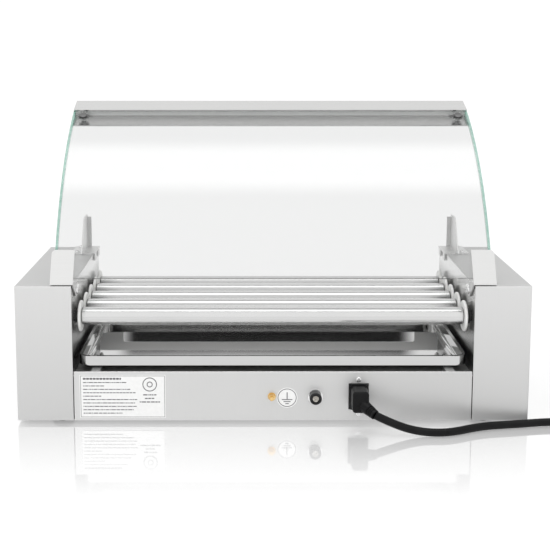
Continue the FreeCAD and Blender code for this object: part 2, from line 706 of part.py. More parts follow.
def drip_tray():
    """Shallow pressed tray with leaning walls and a rim turned out and down into a skirt."""
    low = PANEL_TOP + TRAY_GAP
    high = low + TRAY_HEIGHT
    body = round_bottom(tray_block(0, low, high), TRAY_BOTTOM_R)
    x = TRAY_HALF_WIDTH
    rim = rounded_face(-x, x, y_at(TRAY_DEPTHS[0]), y_at(TRAY_DEPTHS[1]), high - TRAY_RIM_DROP,
                       TRAY_CORNER_R + TRAY_RIM).extrude(vec(0, 0, TRAY_RIM_DROP))
    inner_x = x - TRAY_SHEET
    under = rounded_face(-inner_x, inner_x, y_at(TRAY_DEPTHS[0]) + TRAY_SHEET,
                         y_at(TRAY_DEPTHS[1]) - TRAY_SHEET, high - TRAY_RIM_DROP - 1,
                         TRAY_CORNER_R + TRAY_RIM - TRAY_SHEET)
    under = under.extrude(vec(0, 0, TRAY_RIM_DROP + 1 - TRAY_SHEET))
    tray = rim.cut(under).fuse([body])
    hollow = round_bottom(tray_block(TRAY_SHEET, low + TRAY_SHEET, high + 0.01),
                          TRAY_BOTTOM_R - TRAY_SHEET)
    return tray.cut(hollow).removeSplitter()


# ---------------------------------------------------------------- controls

LAMP_X = 62.0


def knob(side):
    """Skirted knob with a grip bar, on its own shaft."""
    x = side * KNOB_X
    face_y = BACK_Y + KNOB_OUT
    skirt = Part.makeCone(KNOB_R, KNOB_R - 1.5, 5, vec(x, BACK_Y + 0.8, PANEL_Z), AXIS_Y)
    grip = Part.makeCone(14.0, 12.5, KNOB_OUT - 7, vec(x, BACK_Y + 5.8, PANEL_Z), AXIS_Y)
    bar = rounded_plate_y(x, PANEL_Z, 7.0, 31.0, BACK_Y + 4, face_y, 3.0)
    shaft = cylinder_y(BACK_Y - 14, BACK_Y + 2, x, PANEL_Z, KNOB_SHAFT_R)
    return skirt.fuse([grip, bar, shaft]).removeSplitter()


def thermostats():
    """Thermostat bodies behind the operator's panel, one for each group of rollers."""
    shapes = []
    for side in (-1, 1):
        x = side * KNOB_X
        y1 = BACK_Y - SHEET
        can = cylinder_y(y1 - 22, y1 - 3, x, PANEL_Z, 19.0)
        collar = cylinder_y(y1 - 4, y1, x, PANEL_Z, 9.0)
        bore = cylinder_y(y1 - 14, y1 + 1, x, PANEL_Z, KNOB_SHAFT_R + RUNNING_GAP)
        terminals = [box(x + offset - 3, x + offset + 3, y1 - 30, y1 - 21, PANEL_Z - 0.4, PANEL_Z + 0.4)
                     for offset in (-9, 9)]
        shapes.append(can.fuse([collar] + terminals).cut(bore).removeSplitter())
    return group(shapes)


def switch_frame():
    """Bezel and body of the mains switch, hollow round the rocker."""
    bezel = rounded_plate_y(0, PANEL_Z, 31.0, 25.5, BACK_Y, BACK_Y + 2.2, 2.5)
    body = box(-13.4, 13.4, BACK_Y - 20, BACK_Y + 0.1, PANEL_Z - 10.9, PANEL_Z + 10.9)
    hollow = box(-12.1, 12.1, BACK_Y - 12, BACK_Y + 3, PANEL_Z - 9.9, PANEL_Z + 9.9)
    bearings = cylinder_x(-13.1, 13.1, BACK_Y - ROCKER_SINK, PANEL_Z, ROCKER_PIN_R + RUNNING_GAP)
    blades = [box(x - 2.4, x + 2.4, BACK_Y - 28, BACK_Y - 19.9, PANEL_Z + z - 0.4, PANEL_Z + z + 0.4)
              for x in (-7, 7) for z in (-6, 6)]
    return bezel.fuse([body] + blades).cut([hollow, bearings]).removeSplitter()


def power_rocker():
    """Rocker with a shallow valley, tilted to its off position."""
    half = 9.0
    axis_y = BACK_Y - ROCKER_SINK
    outline = [(-6, -half), (4.6, -half), (2.9, 0), (4.6, half), (-6, half)]
    shape = prism_x([(axis_y + y, PANEL_Z + z) for y, z in outline], -11.6, 11.6)
    pins = cylinder_x(-12.9, 12.9, axis_y, PANEL_Z, ROCKER_PIN_R)
    return turned_about_x(shape.fuse([pins]), axis_y, PANEL_Z, ROCKER_TILT)


def indicator_lamps():
    """Domed lenses that show that each group of rollers is heating."""
    shapes = []
    for side in (-1, 1):
        x = side * LAMP_X
        rim = cylinder_y(BACK_Y, BACK_Y + 1.4, x, PANEL_Z, 6.0)
        lens = cylinder_y(BACK_Y + 1.4, BACK_Y + 4.2, x, PANEL_Z, 4.6)
        lens = lens.makeFillet(1.8, [edge for edge in lens.Edges
                                     if len(edge.Vertexes) == 1 and edge.CenterOfMass.y > BACK_Y + 3])
        body = cylinder_y(BACK_Y - 16, BACK_Y, x, PANEL_Z, 4.0)
        shapes.append(rim.fuse([lens, body]).removeSplitter())
    return group(shapes)


# ---------------------------------------------------------------- mains inlet side

INLET_MOUTH = (16.4, 24.4)
INLET_BACK = 20.0


def inlet_screw_heights():
    return (PANEL_Z - 20, PANEL_Z + 20)


def inlet_socket():
    """Three-pin appliance inlet, its flange behind the panel and its rim just through it."""
    y0 = FRONT_Y - 2.2
    rim = rounded_plate_y(INLET_X, PANEL_Z, 22.4, 30.4, y0, FRONT_Y + SHEET + 0.1, 3.8)
    flange = rounded_plate_y(INLET_X, PANEL_Z, 25.0, 46.0, FRONT_Y + SHEET, FRONT_Y + SHEET + 3, 4.0)
    body = rounded_plate_y(INLET_X, PANEL_Z, 20.4, 28.4, FRONT_Y + SHEET + 2.9,
                           FRONT_Y + INLET_BACK + 2, 2.0)
    mouth = rounded_plate_y(INLET_X, PANEL_Z, INLET_MOUTH[0], INLET_MOUTH[1], y0 - 1,
                            FRONT_Y + INLET_BACK - 3, 1.5)
    socket = rim.fuse([flange, body]).cut(mouth)
    for z in inlet_screw_heights():
        socket = socket.cut(cylinder_y(FRONT_Y, FRONT_Y + 9, INLET_X, z, 1.55))
    pins = [box(INLET_X + x - 1, INLET_X + x + 1, FRONT_Y + 3, FRONT_Y + INLET_BACK - 3,
                PANEL_Z + z - 2, PANEL_Z + z + 2)
            for x, z in ((0, -7), (0, 7), (-4, 0))]
    blades = [box(INLET_X + x - 0.4, INLET_X + x + 0.4, FRONT_Y + INLET_BACK + 2,
                  FRONT_Y + INLET_BACK + 10, PANEL_Z + z - 2.4, PANEL_Z + z + 2.4)
              for x, z in ((0, -7), (0, 7), (-4, 0))]
    return group([socket.fuse(pins + blades).removeSplitter()])


def fuse_holder():
    """Bright ring and threaded barrel of the panel fuse holder."""
    ring = cylinder_y(FRONT_Y - 1.6, FRONT_Y, FUSE_X, PANEL_Z, 8.4)
    barrel = cylinder_y(FRONT_Y - 0.1, FRONT_Y + 30, FUSE_X, PANEL_Z, 6.0)
    nut = cylinder_y(FRONT_Y + SHEET, FRONT_Y + SHEET + 3, FUSE_X, PANEL_Z, 8.6)
    bore = cylinder_y(FRONT_Y - 3, FRONT_Y + 26, FUSE_X, PANEL_Z, 4.2)
    return ring.fuse([barrel, nut]).cut(bore).removeSplitter()


def fuse_cap():
    """Bayonet cap, dished round a slotted hub, on the stem that carries the fuse."""
    face_y = FRONT_Y - FUSE_OUT
    rim = cylinder_y(face_y, FRONT_Y - 2.0, FUSE_X, PANEL_Z, 6.9)
    rim = rim.makeFillet(0.8, [edge for edge in rim.Edges if edge.CenterOfMass.y < face_y + 1e-3])
    dish = cylinder_y(face_y - 1, face_y + 1.8, FUSE_X, PANEL_Z, 5.0)
    hub = cylinder_y(face_y + 0.4, face_y + 2, FUSE_X, PANEL_Z, 3.4)
    stem = cylinder_y(FRONT_Y - 2.1, FRONT_Y + 24, FUSE_X, PANEL_Z, 3.6)
    slot = box(FUSE_X - 4, FUSE_X + 4, face_y, face_y + 1.7, PANEL_Z - 0.7, PANEL_Z + 0.7)
    slot.rotate(vec(FUSE_X, FRONT_Y, PANEL_Z), AXIS_Y, 35)
    return rim.cut(dish).fuse([hub, stem]).cut(slot).removeSplitter()


def earth_screw():
    """Brass earthing stud with a hexagonal nut and a washer on each side of the panel."""
    stud = cylinder_y(FRONT_Y - 8, FRONT_Y + 12, EARTH_X, PANEL_Z, 1.9)
    washer = cylinder_y(FRONT_Y - 0.9, FRONT_Y, EARTH_X, PANEL_Z, 4.6)
    nuts = [hexagon_y(FRONT_Y - 5.0, FRONT_Y - 0.9, EARTH_X, PANEL_Z, 4.0, 20),
            hexagon_y(FRONT_Y + SHEET, FRONT_Y + 4.2, EARTH_X, PANEL_Z, 4.0, 0)]
    return stud.fuse([washer] + nuts).removeSplitter()


def hexagon_y(y0, y1, x, z, radius, turn):
    corners = [polar((x, z), radius, 60 * corner + turn) for corner in range(6)]
    points = [vec(px, y0, pz) for px, pz in corners]
    face = Part.Face(Part.makePolygon(points + points[:1]))
    return face.extrude(vec(0, y1 - y0, 0))


def panel_labels():
    """Thin stickers: the rating label and the round one beside the earthing screw."""
    rating = box(LABEL_CENTRE_X - LABEL_WIDTH / 2, LABEL_CENTRE_X + LABEL_WIDTH / 2,
                 FRONT_Y - LABEL_THICK, FRONT_Y, *LABEL_HEIGHTS)
    earth = cylinder_y(FRONT_Y - LABEL_THICK, FRONT_Y, EARTH_LABEL_X, PANEL_Z - 1.5,
                       EARTH_LABEL_R)
    return group([rating, earth])


def terminal_block():
    """Four-way screw terminal block on the left housing's floor."""
    x0 = -280.0
    y0 = -55.0
    block = box(x0, x0 + 24, y0, y0 + 52, BASE_TOP, BASE_TOP + 9)
    towers = [box(x0 + 2, x0 + 22, y0 + 3 + 12.5 * way, y0 + 12 + 12.5 * way, BASE_TOP + 8.9,
                  BASE_TOP + 18)
              for way in range(4)]
    block = block.fuse(towers)
    for way in range(4):
        y = y0 + 7.5 + 12.5 * way
        block = block.cut(cylinder_x(x0 - 1, x0 + 30, y, BASE_TOP + 12, 1.8))
        for x in (x0 + 6.5, x0 + 17.5):
            block = block.cut(cylinder_z(BASE_TOP + 13, BASE_TOP + 20, x, y, 2.2))
    return block.removeSplitter()


# ---------------------------------------------------------------- feet and screws

FOOT_R = 12.2


def foot_places():
    return [(x, y) for x in (-241.0, 241.0) for y in (y_at(20.0), y_at(200.0))]


def rubber_feet():
    shapes = []
    for x, y in foot_places():
        foot = Part.makeCone(FOOT_R - 1.2, FOOT_R, FOOT_HEIGHT, vec(x, y, 0), AXIS_Z)
        foot = foot.cut(cylinder_z(-1, 2.4, x, y, 4.6))
        shapes.append(foot.cut(cylinder_z(2, 9, x, y, 2.05)))
    return group(shapes)


def foot_screws():
    shapes = []
    for x, y in foot_places():
        head = cylinder_z(0.6, 2.4, x, y, 4.0)
        shank = cylinder_z(2.3, 12, x, y, 2.0)
        nut = cylinder_z(BASE_TOP, BASE_TOP + 3.2, x, y, 4.2)
        shapes.append(head.fuse([shank, nut]).removeSplitter())
    return group(shapes)


def pan_screw(point, direction):
    """Small cross-headed screw: its head on a face at point, its shank against direction."""
    radius = 3.0
    head = Part.makeCylinder(radius, 1.9, point, direction)
    outer = [edge for edge in head.Edges if len(edge.Vertexes) == 1]
    outer.sort(key=lambda edge: edge.CenterOfMass.dot(direction))
    head = head.makeFillet(1.2, outer[-1:])
    shank = Part.makeCylinder(1.45, 6, point, direction * -1)
    tip = point + direction * 2.5
    for across in (0, 90):
        cut = box(-1.8, 1.8, -0.35, 0.35, -1.4, 0)
        cut.Placement = FreeCAD.Placement(tip, FreeCAD.Rotation(AXIS_Z, direction))
        cut.rotate(point, direction, across)
        head = head.cut(cut)
    return head.fuse([shank]).removeSplitter()


def cover_screw_places():
    return [(x, y) for x in (-282.0, 282.0) for y in (-88.0, -10.0, 78.0)]


def pan_screws():
    """The identical screws of the inlet, of the rest brackets and under the housings."""
    screws = [pan_screw(vec(INLET_X, FRONT_Y, z), AXIS_Y * -1) for z in inlet_screw_heights()]
    for x, y in bracket_screw_places():
        screw = pan_screw(vec(x, y, HOUSING_TOP + FIN_SHEET), AXIS_Z)
        screws += [screw, mirrored(screw)]
    screws += [pan_screw(vec(x, y, BASE_Z), AXIS_Z * -1) for x, y in cover_screw_places()]
    return group(screws)


# ---------------------------------------------------------------- mains cord

CONNECTOR_NOSE = (15.6, 23.6)
BOOT_START = (100.5, -136.5, 29.0)
CORD_ROUTE = [
    CORD_EXIT,
    (136.0, -153.0, 11.6),
    (164.0, -153.8, 4.7),
    (193.0, -155.5, 4.7),
    (232.0, -135.5, 4.7),
    (272.0, -129.6, 4.7),
    (316.0, -121.5, 4.7),
    (380.0, -122.5, 4.7),
]
TAIL_ROUTE = [
    (455.0, -47.0, 13.6),
    (455.3, -29.0, 12.6),
    (455.0, -11.0, 12.7),
]
PLUG_AXIS_Z = 12.7


def cord_connector():
    """Angled appliance coupler: a nose in the inlet and a rounded grip outside it."""
    nose = rounded_plate_y(INLET_X, PANEL_Z, CONNECTOR_NOSE[0], CONNECTOR_NOSE[1], FRONT_Y - 2.5,
                           FRONT_Y + 14, 1.3)
    for x, z in ((0, -7), (0, 7), (-4, 0)):
        nose = nose.cut(box(INLET_X + x - 1.4, INLET_X + x + 1.4, FRONT_Y + 1, FRONT_Y + 15,
                            PANEL_Z + z - 2.4, PANEL_Z + z + 2.4))
    grip = rounded_plate_y(INLET_X, PANEL_Z + 1.4, 18.4, 24.6, FRONT_Y - 26, FRONT_Y - 2.4, 4.0)
    front = [edge for edge in grip.Edges if edge.CenterOfMass.y < FRONT_Y - 25.9]
    grip = grip.makeFillet(2.5, front)
    socket = boot_cone(0.05)
    return nose.fuse([grip]).cut(socket).removeSplitter()


def boot_cone(extra):
    start = vec(*BOOT_START)
    along = vec(*CORD_EXIT) - start
    return Part.makeCone(7.2 + extra, 5.4 + extra, along.Length, start, along)


def cord_strain_relief():
    """Tapered boot, ringed by grooves, where the cord leaves the coupler."""
    start = vec(*BOOT_START)
    along = vec(*CORD_EXIT) - start
    unit = along * (1 / along.Length)
    boot = boot_cone(0)
    for share in (0.50, 0.64, 0.78):
        middle = start + along * share
        ring = Part.makeCylinder(9, 1.1, middle, unit)
        boot = boot.cut(ring.cut(Part.makeCylinder(5.0, 1.1, middle, unit)))
    return boot


def swept_cord(route, name):
    """Round cord along straight runs that are joined by tangent arcs."""
    points = [vec(*point) for point in route]
    edges = []
    radii = []
    here = points[0]
    for before, corner, after in zip(points, points[1:], points[2:]):
        back = before - corner
        ahead = after - corner
        turn = math.pi - back.getAngle(ahead)
        reach = 0.45 * min(back.Length, ahead.Length)
        radii.append(reach / math.tan(turn / 2))
        start = corner + back.normalize() * reach
        end = corner + ahead.normalize() * reach
        centre_way = (back + ahead).normalize()
        sink = radii[-1] * (1 / math.cos(turn / 2) - 1)
        middle = corner + centre_way * sink
        edges.append(Part.LineSegment(here, start).toShape())
        edges.append(Part.Arc(start, middle, end).toShape())
        here = end
    edges.append(Part.LineSegment(here, points[-1]).toShape())
    path = Part.Wire(edges)
    direction = points[1] - points[0]
    section = Part.Wire([Part.makeCircle(CORD_R, points[0], direction)])
    tube = path.makePipeShell([section], True, False)
    length = path.Length
    share = tube.Volume / (math.pi * CORD_R ** 2 * length)
    print(name, "length", round(length, 1), "volume share", round(share, 4),
          "radii", [round(radius) for radius in radii])
    return tube


def cord_tube():
    return swept_cord(CORD_ROUTE, "cord_tube")


def cord_tail():
    return swept_cord(TAIL_ROUTE, "cord_tail")


def cord_coil():
    """Outer shape of the spare length, wound flat in a ring beside the right housing."""
    x, y = COIL_CENTRE
    ring = cylinder_z(0.1, COIL_HEIGHT, x, y, COIL_RADII[1])
    ring = ring.cut(cylinder_z(-1, COIL_HEIGHT + 1, x, y, COIL_RADII[0]))
    edges = [edge for edge in ring.Edges if len(edge.Vertexes) == 1]
    return ring.makeFillet(3.0, edges)


def cord_plug():
    """Three-pin mains plug with a ringed boot, lying on its side by the coil."""
    x, y, z = TAIL_ROUTE[-1]
    boot = Part.makeCone(5.6, 7.6, 26, vec(x, y, z), AXIS_Y)
    body = rounded_plate_y(x, PLUG_AXIS_Z, 26.0, 24.4, y + 24, y + 54, 7.0)
    front = [edge for edge in body.Edges if edge.CenterOfMass.y > y + 53.9]
    body = body.makeFillet(2.0, front)
    blades = [box(x + side * 6.35 - 0.75, x + side * 6.35 + 0.75, y + 53.5, y + 71,
                  PLUG_AXIS_Z - 0.8, PLUG_AXIS_Z + 5.6)
              for side in (-1, 1)]
    earth = cylinder_y(y + 53.5, y + 74, x, PLUG_AXIS_Z - 6.2, 2.4)
    return boot.fuse([body, earth] + blades).removeSplitter()


# ---------------------------------------------------------------- all nodes

def nodes():
    yield "base_pan", base_pan()
    for side, place in (("right", lambda shape: shape), ("left", mirrored)):
        yield "housing_cover_" + side, place(housing_cover())
        yield "inner_wall_" + side, place(inner_wall())
        yield "hood_clamp_" + side, place(hood_clamp())
    yield "rest_brackets", both_sides(rest_bracket())
    yield "service_panel", service_panel()
    yield "tray_deck", tray_deck()
    yield "operator_panel", operator_panel()
    for index in range(ROLLER_COUNT):
        name = "roller_" + str(index + 1)
        yield name + "_tube", roller_tube(index)
        yield name + "_collars", roller_collars(index)
        yield name + "_sprocket", roller_sprocket(index)
    yield "roller_bushes", roller_bushes()
    yield "heating_elements", heating_elements()
    yield "element_brackets", element_brackets()
    yield "gear_motor", gear_motor()
    yield "motor_bracket", motor_bracket()
    yield "motor_sprocket", motor_sprocket()
    yield "drive_chain", drive_chain()
    yield "hood_glass", hood_glass()
    yield "hood_top_bar", hood_top_bar()
    yield "hood_bar_screws", bar_screws()
    yield "hood_pads", hood_pads()
    yield "hood_pivot_screws", hood_pivot_screws()
    yield "drip_tray", drip_tray()
    yield "knob_left", knob(-1)
    yield "knob_right", knob(1)
    yield "thermostats", thermostats()
    yield "switch_frame", switch_frame()
    yield "power_rocker", power_rocker()
    yield "indicator_lamps", indicator_lamps()
    yield "inlet_socket", inlet_socket()
    yield "fuse_holder", fuse_holder()
    yield "fuse_cap", fuse_cap()
    yield "earth_screw", earth_screw()
    yield "panel_labels", panel_labels()
    yield "terminal_block", terminal_block()
    yield "rubber_feet", rubber_feet()
    yield "foot_screws", foot_screws()
    yield "pan_screws", pan_screws()
    yield "cord_connector", cord_connector()
    yield "cord_strain_relief", cord_strain_relief()
    yield "cord_tube", cord_tube()
    yield "cord_coil", cord_coil()
    yield "cord_tail", cord_tail()
    yield "cord_plug", cord_plug()


os.makedirs("parts", exist_ok=True)
total = 0
for node_name, node_shape in nodes():
    if not node_shape.isValid():
        print("not valid:", node_name)
    node_shape.exportStep("parts/" + node_name + ".step")
    total += 1
print(total, "nodes")
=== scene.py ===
import json
import math

import bmesh
import bpy
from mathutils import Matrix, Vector


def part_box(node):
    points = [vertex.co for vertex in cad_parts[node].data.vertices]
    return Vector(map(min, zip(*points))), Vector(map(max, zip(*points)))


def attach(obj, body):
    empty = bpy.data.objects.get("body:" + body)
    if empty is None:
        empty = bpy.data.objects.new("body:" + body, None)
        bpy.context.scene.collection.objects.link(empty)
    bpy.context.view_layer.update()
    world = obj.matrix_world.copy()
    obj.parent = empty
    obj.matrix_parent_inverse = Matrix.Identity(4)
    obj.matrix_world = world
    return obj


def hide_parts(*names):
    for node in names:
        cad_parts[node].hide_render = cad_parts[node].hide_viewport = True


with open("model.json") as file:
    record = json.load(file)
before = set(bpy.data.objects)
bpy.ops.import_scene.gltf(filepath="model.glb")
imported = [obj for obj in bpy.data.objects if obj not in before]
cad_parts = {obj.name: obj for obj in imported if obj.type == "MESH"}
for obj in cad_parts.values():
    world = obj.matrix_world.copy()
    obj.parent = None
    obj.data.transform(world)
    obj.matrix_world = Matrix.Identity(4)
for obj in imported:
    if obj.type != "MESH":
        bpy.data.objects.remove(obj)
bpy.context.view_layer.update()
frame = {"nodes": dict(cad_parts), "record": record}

MM = 0.001


def axis_of(joint):
    """X and Z of a joint's axis that runs along Y, from the record."""
    places = {row["name"]: row["pos_m"] for row in frame["record"]["behaviour"]["joints"]
              if "pos_m" in row}
    return places[joint][0], places[joint][2]


# ---------------------------------------------------------------- camera

CAMERA_PLACE = (-0.0296, -1.2535, 0.4364)
CAMERA_DOWN = 7.62                # degrees that it looks down
CAMERA_RIGHT = 0.04               # degrees that it looks to the right
CAMERA_LENS = 68.25
CAMERA_SHIFT = (0.05, -0.18)


def make_camera():
    """Long lens on the mains inlet side, a little above the grill and just left of its middle."""
    data = bpy.data.cameras.new("camera")
    camera = bpy.data.objects.new("camera", data)
    bpy.context.collection.objects.link(camera)
    camera.location = CAMERA_PLACE
    camera.rotation_euler = (math.radians(90 - CAMERA_DOWN), 0, math.radians(-CAMERA_RIGHT))
    data.lens = CAMERA_LENS
    data.sensor_width = 36.0
    data.shift_x = CAMERA_SHIFT[0]
    data.shift_y = CAMERA_SHIFT[1]
    data.clip_end = 50.0
    bpy.context.scene.camera = camera


make_camera()


# ---------------------------------------------------------------- shader helpers

class Shader:
    """A new material with one Principled shader, and short calls to add nodes to it."""

    def __init__(self, name, color, rough, metal=0.0, spec=0.5):
        self.material = bpy.data.materials.new(name)
        self.material.use_nodes = True
        self.tree = self.material.node_tree
        self.base = self.tree.nodes["Principled BSDF"]
        self.base.inputs["Base Color"].default_value = (*color, 1)
        self.base.inputs["Roughness"].default_value = rough
        self.base.inputs["Metallic"].default_value = metal
        self.base.inputs["Specular IOR Level"].default_value = spec
        self.place = self.node("ShaderNodeTexCoord")
        self.parts = {}

    def node(self, kind, **values):
        made = self.tree.nodes.new(kind)
        for key, value in values.items():
            setattr(made, key, value)
        return made

    def link(self, source, target):
        self.tree.links.new(source, target)

    def part(self, axis, kind="Object"):
        """X, Y or Z of a point in the object's own coordinates, or of its own normal."""
        if kind not in self.parts:
            split = self.node("ShaderNodeSeparateXYZ")
            self.link(self.place.outputs[kind], split.inputs[0])
            self.parts[kind] = split.outputs
        return self.parts[kind][axis]

    def noise(self, scale, detail=3.0, stretch=(1, 1, 1), rough=0.5):
        mapping = self.node("ShaderNodeMapping")
        mapping.inputs["Scale"].default_value = stretch
        self.link(self.place.outputs["Object"], mapping.inputs["Vector"])
        made = self.node("ShaderNodeTexNoise")
        made.inputs["Scale"].default_value = scale
        made.inputs["Detail"].default_value = detail
        made.inputs["Roughness"].default_value = rough
        self.link(mapping.outputs["Vector"], made.inputs["Vector"])
        return made.outputs["Fac"]

    def range(self, source, low, high, from_low=0.3, from_high=0.7):
        made = self.node("ShaderNodeMapRange")
        made.inputs["From Min"].default_value = from_low
        made.inputs["From Max"].default_value = from_high
        made.inputs["To Min"].default_value = low
        made.inputs["To Max"].default_value = high
        self.link(source, made.inputs["Value"])
        return made.outputs["Result"]

    def math(self, operation, first, second=None):
        made = self.node("ShaderNodeMath", operation=operation)
        for socket, value in zip(made.inputs, (first, second)):
            if value is None:
                continue
            if isinstance(value, (int, float)):
                socket.default_value = value
            else:
                self.link(value, socket)
        return made.outputs[0]

    def length(self, first, second):
        squares = [self.math("MULTIPLY", side, side) for side in (first, second)]
        return self.math("SQRT", self.math("ADD", *squares))

    def mix_color(self, factor, first, second):
        made = self.node("ShaderNodeMix", data_type="RGBA")
        self.link(factor, made.inputs[0])
        for socket, value in ((made.inputs[6], first), (made.inputs[7], second)):
            if isinstance(value, tuple):
                socket.default_value = (*value, 1)
            else:
                self.link(value, socket)
        return made.outputs[2]

    def mix_shader(self, factor, first, second):
        made = self.node("ShaderNodeMixShader")
        for socket, source in zip(made.inputs, (factor, first, second)):
            self.link(source, socket)
        return made.outputs[0]

    def set_color(self, source):
        self.link(source, self.base.inputs["Base Color"])

    def set_rough(self, source):
        self.link(source, self.base.inputs["Roughness"])

    def set_surface(self, source):
        self.link(source, self.tree.nodes["Material Output"].inputs["Surface"])

    def bump(self, source, strength, distance):
        made = self.node("ShaderNodeBump")
        made.inputs["Strength"].default_value = strength
        made.inputs["Distance"].default_value = distance
        self.link(source, made.inputs["Height"])
        self.link(made.outputs["Normal"], self.base.inputs["Normal"])


def shade(color, factor):
    return tuple(min(1.0, channel * factor) for channel in color)


# ---------------------------------------------------------------- steel and other metals

STEEL = (0.56, 0.56, 0.557)
PANEL_METAL = 0.75                # how metallic the outer sheets are
HOUSING_METAL = 0.6
WALL_STEEL = (0.80, 0.80, 0.795)
# painted shade on the inner walls below the rollers
WALL_PAINTED_SHADE = (0.36, 0.36, 0.357)
PAINTED_SHADE_FADE = (0.128, 0.146)        # heights between which the walls turn dark with painted shade
PANEL_LIGHT_SPAN_X = 0.22               # the inlet's panel is painted brighter at -X than at +X over this, as painted light
LINING = (0.93, 0.93, 0.925)
TRAY_STEEL = (0.60, 0.60, 0.597)
SHADE_REACH = 0.045                 # a roller's painted shade looks this far for its neighbours
SHADE_DARKEST_AT = 0.30                   # share of open air at which a roller's painted shade is darkest
SHADE_GONE_AT = 0.72                   # share at which it has no painted shade
ROLLER_SHADE = 0.10
BRUSH = 900                       # scale of the noise that draws brush lines
CLOUD = 9                         # scale of the polish's cloudiness
UPRIGHT = (1, 1, 0.02)            # stretches a noise into upright lines
LENGTHWISE = (0.02, 1, 1)         # stretches it into lines along the grill
BRUSH_DEPTH = 0.00001


def brushed_steel(name, color, rough, grain=UPRIGHT, metal=1.0):
    """Stainless sheet: fine brush lines along one direction, cloudy polish, faint wipe marks."""
    made = Shader(name, color, rough, metal=metal)
    lines = made.noise(BRUSH, 2, grain)
    cloud = made.noise(CLOUD, 3)
    tone = made.mix_color(made.range(lines, 0, 1), shade(color, 0.985), shade(color, 1.01))
    made.set_color(made.mix_color(made.range(cloud, 0, 0.6), tone, color))
    made.set_rough(made.range(cloud, rough * 0.93, rough * 1.06))
    made.bump(lines, 0.03, BRUSH_DEPTH)
    return made.material


def panel_with_painted_light():
    """The mains inlet's panel: a satin sheet with painted light, brighter on the left than on the
    right.
    """
    made = Shader("service_panel_shader", STEEL, 0.42, metal=PANEL_METAL)
    lines = made.noise(BRUSH, 2, UPRIGHT)
    # painted light: brighter at -X, where more light falls, and darker at +X under the cord's shade
    across = made.range(made.part("X"), 0, 1, -PANEL_LIGHT_SPAN_X, PANEL_LIGHT_SPAN_X)
    tone = made.mix_color(across, shade(STEEL, 1.14), shade(STEEL, 1.04))
    made.set_color(made.mix_color(made.range(lines, 0, 0.1), tone, STEEL))
    made.set_rough(made.range(made.noise(CLOUD, 3), 0.40, 0.45))
    return made.material


def housing_steel():
    """Housing covers: satin sheet, with painted light towards the top of its upright faces and
    painted shade on its flat tops.
    """
    made = Shader("housing_shader", STEEL, 0.42, metal=HOUSING_METAL)
    top = float(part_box("housing_cover_left")[1][2])
    # painted shade on the flat tops, and painted light growing towards the top of the upright faces
    flat = made.math("GREATER_THAN", made.part("Z", "Normal"), 0.5)
    lines = made.noise(BRUSH, 2, UPRIGHT)
    upright = made.mix_color(made.range(made.part("Z"), 0, 1, 0.0, top), shade(STEEL, 0.98),
                             shade(STEEL, 1.16))
    tone = made.mix_color(flat, upright, shade(STEEL, 0.90))
    made.set_color(made.mix_color(made.range(lines, 0, 0.08), tone, STEEL))
    made.set_rough(made.range(made.noise(CLOUD, 3), 0.40, 0.45))
    return made.material


def wall_steel():
    """Inner walls: bright above the rollers, with painted shade from there down."""
    made = Shader("inner_sheet_shader", WALL_STEEL, 0.24, metal=1.0)
    # painted shade: the walls are painted dark below the rollers
    low = made.range(made.part("Z"), 1, 0, *PAINTED_SHADE_FADE)
    lines = made.noise(BRUSH, 2, UPRIGHT)
    tone = made.mix_color(made.range(lines, 0, 1), shade(WALL_STEEL, 0.97), WALL_STEEL)
    made.set_color(made.mix_color(low, tone, WALL_PAINTED_SHADE))
    made.set_rough(made.range(made.noise(CLOUD, 3), 0.20, 0.27))
    return made.material


def turned_steel(name, color, rough):
    """Polished roller: buffed rings, dull cooking marks, and painted shade where its neighbours are
    near.
    """
    made = Shader(name, color, rough, metal=1.0)
    rings = made.noise(700, 2, (1, 0.02, 0.02))
    bands = made.noise(22, 3, (1, 0.1, 0.1))
    stain = made.noise(30, 5, (0.4, 1, 1), 0.7)
    warm = made.mix_color(made.range(stain, 0, 1, 0.62, 0.80), color,
                          shade((1, 0.95, 0.88), color[0]))
    tone = made.mix_color(made.range(bands, 0, 0.35), warm, shade(color, 0.93))
    # painted shade: the colour darkens where neighbouring rollers and walls close it in
    air = made.node("ShaderNodeAmbientOcclusion", samples=24)
    air.inputs["Distance"].default_value = SHADE_REACH
    unshaded = made.range(air.outputs["AO"], 0, 1, SHADE_DARKEST_AT, SHADE_GONE_AT)
    made.set_color(made.mix_color(unshaded, shade(color, ROLLER_SHADE), tone))
    made.set_rough(made.math("ADD", made.range(rings, rough * 0.85, rough * 1.15),
                             made.range(stain, 0.0, 0.06, 0.5, 0.8)))
    made.bump(rings, 0.05, 0.00003)
    return made.material


def tray_steel():
    """Bright pressed sheet, very slightly wavy, with fine scratches from scraping."""
    made = Shader("tray_steel_shader", TRAY_STEEL, 0.05, metal=1.0)
    wave = made.noise(5, 1)
    scratch = made.noise(160, 6, (0.15, 1.6, 1), 0.75)
    made.set_color(made.mix_color(made.range(scratch, 0, 1, 0.6, 0.8), TRAY_STEEL,
                                  shade(TRAY_STEEL, 0.93)))
    made.set_rough(made.range(scratch, 0.03, 0.05))
    made.bump(wave, 0.08, 0.0004)
    return made.material


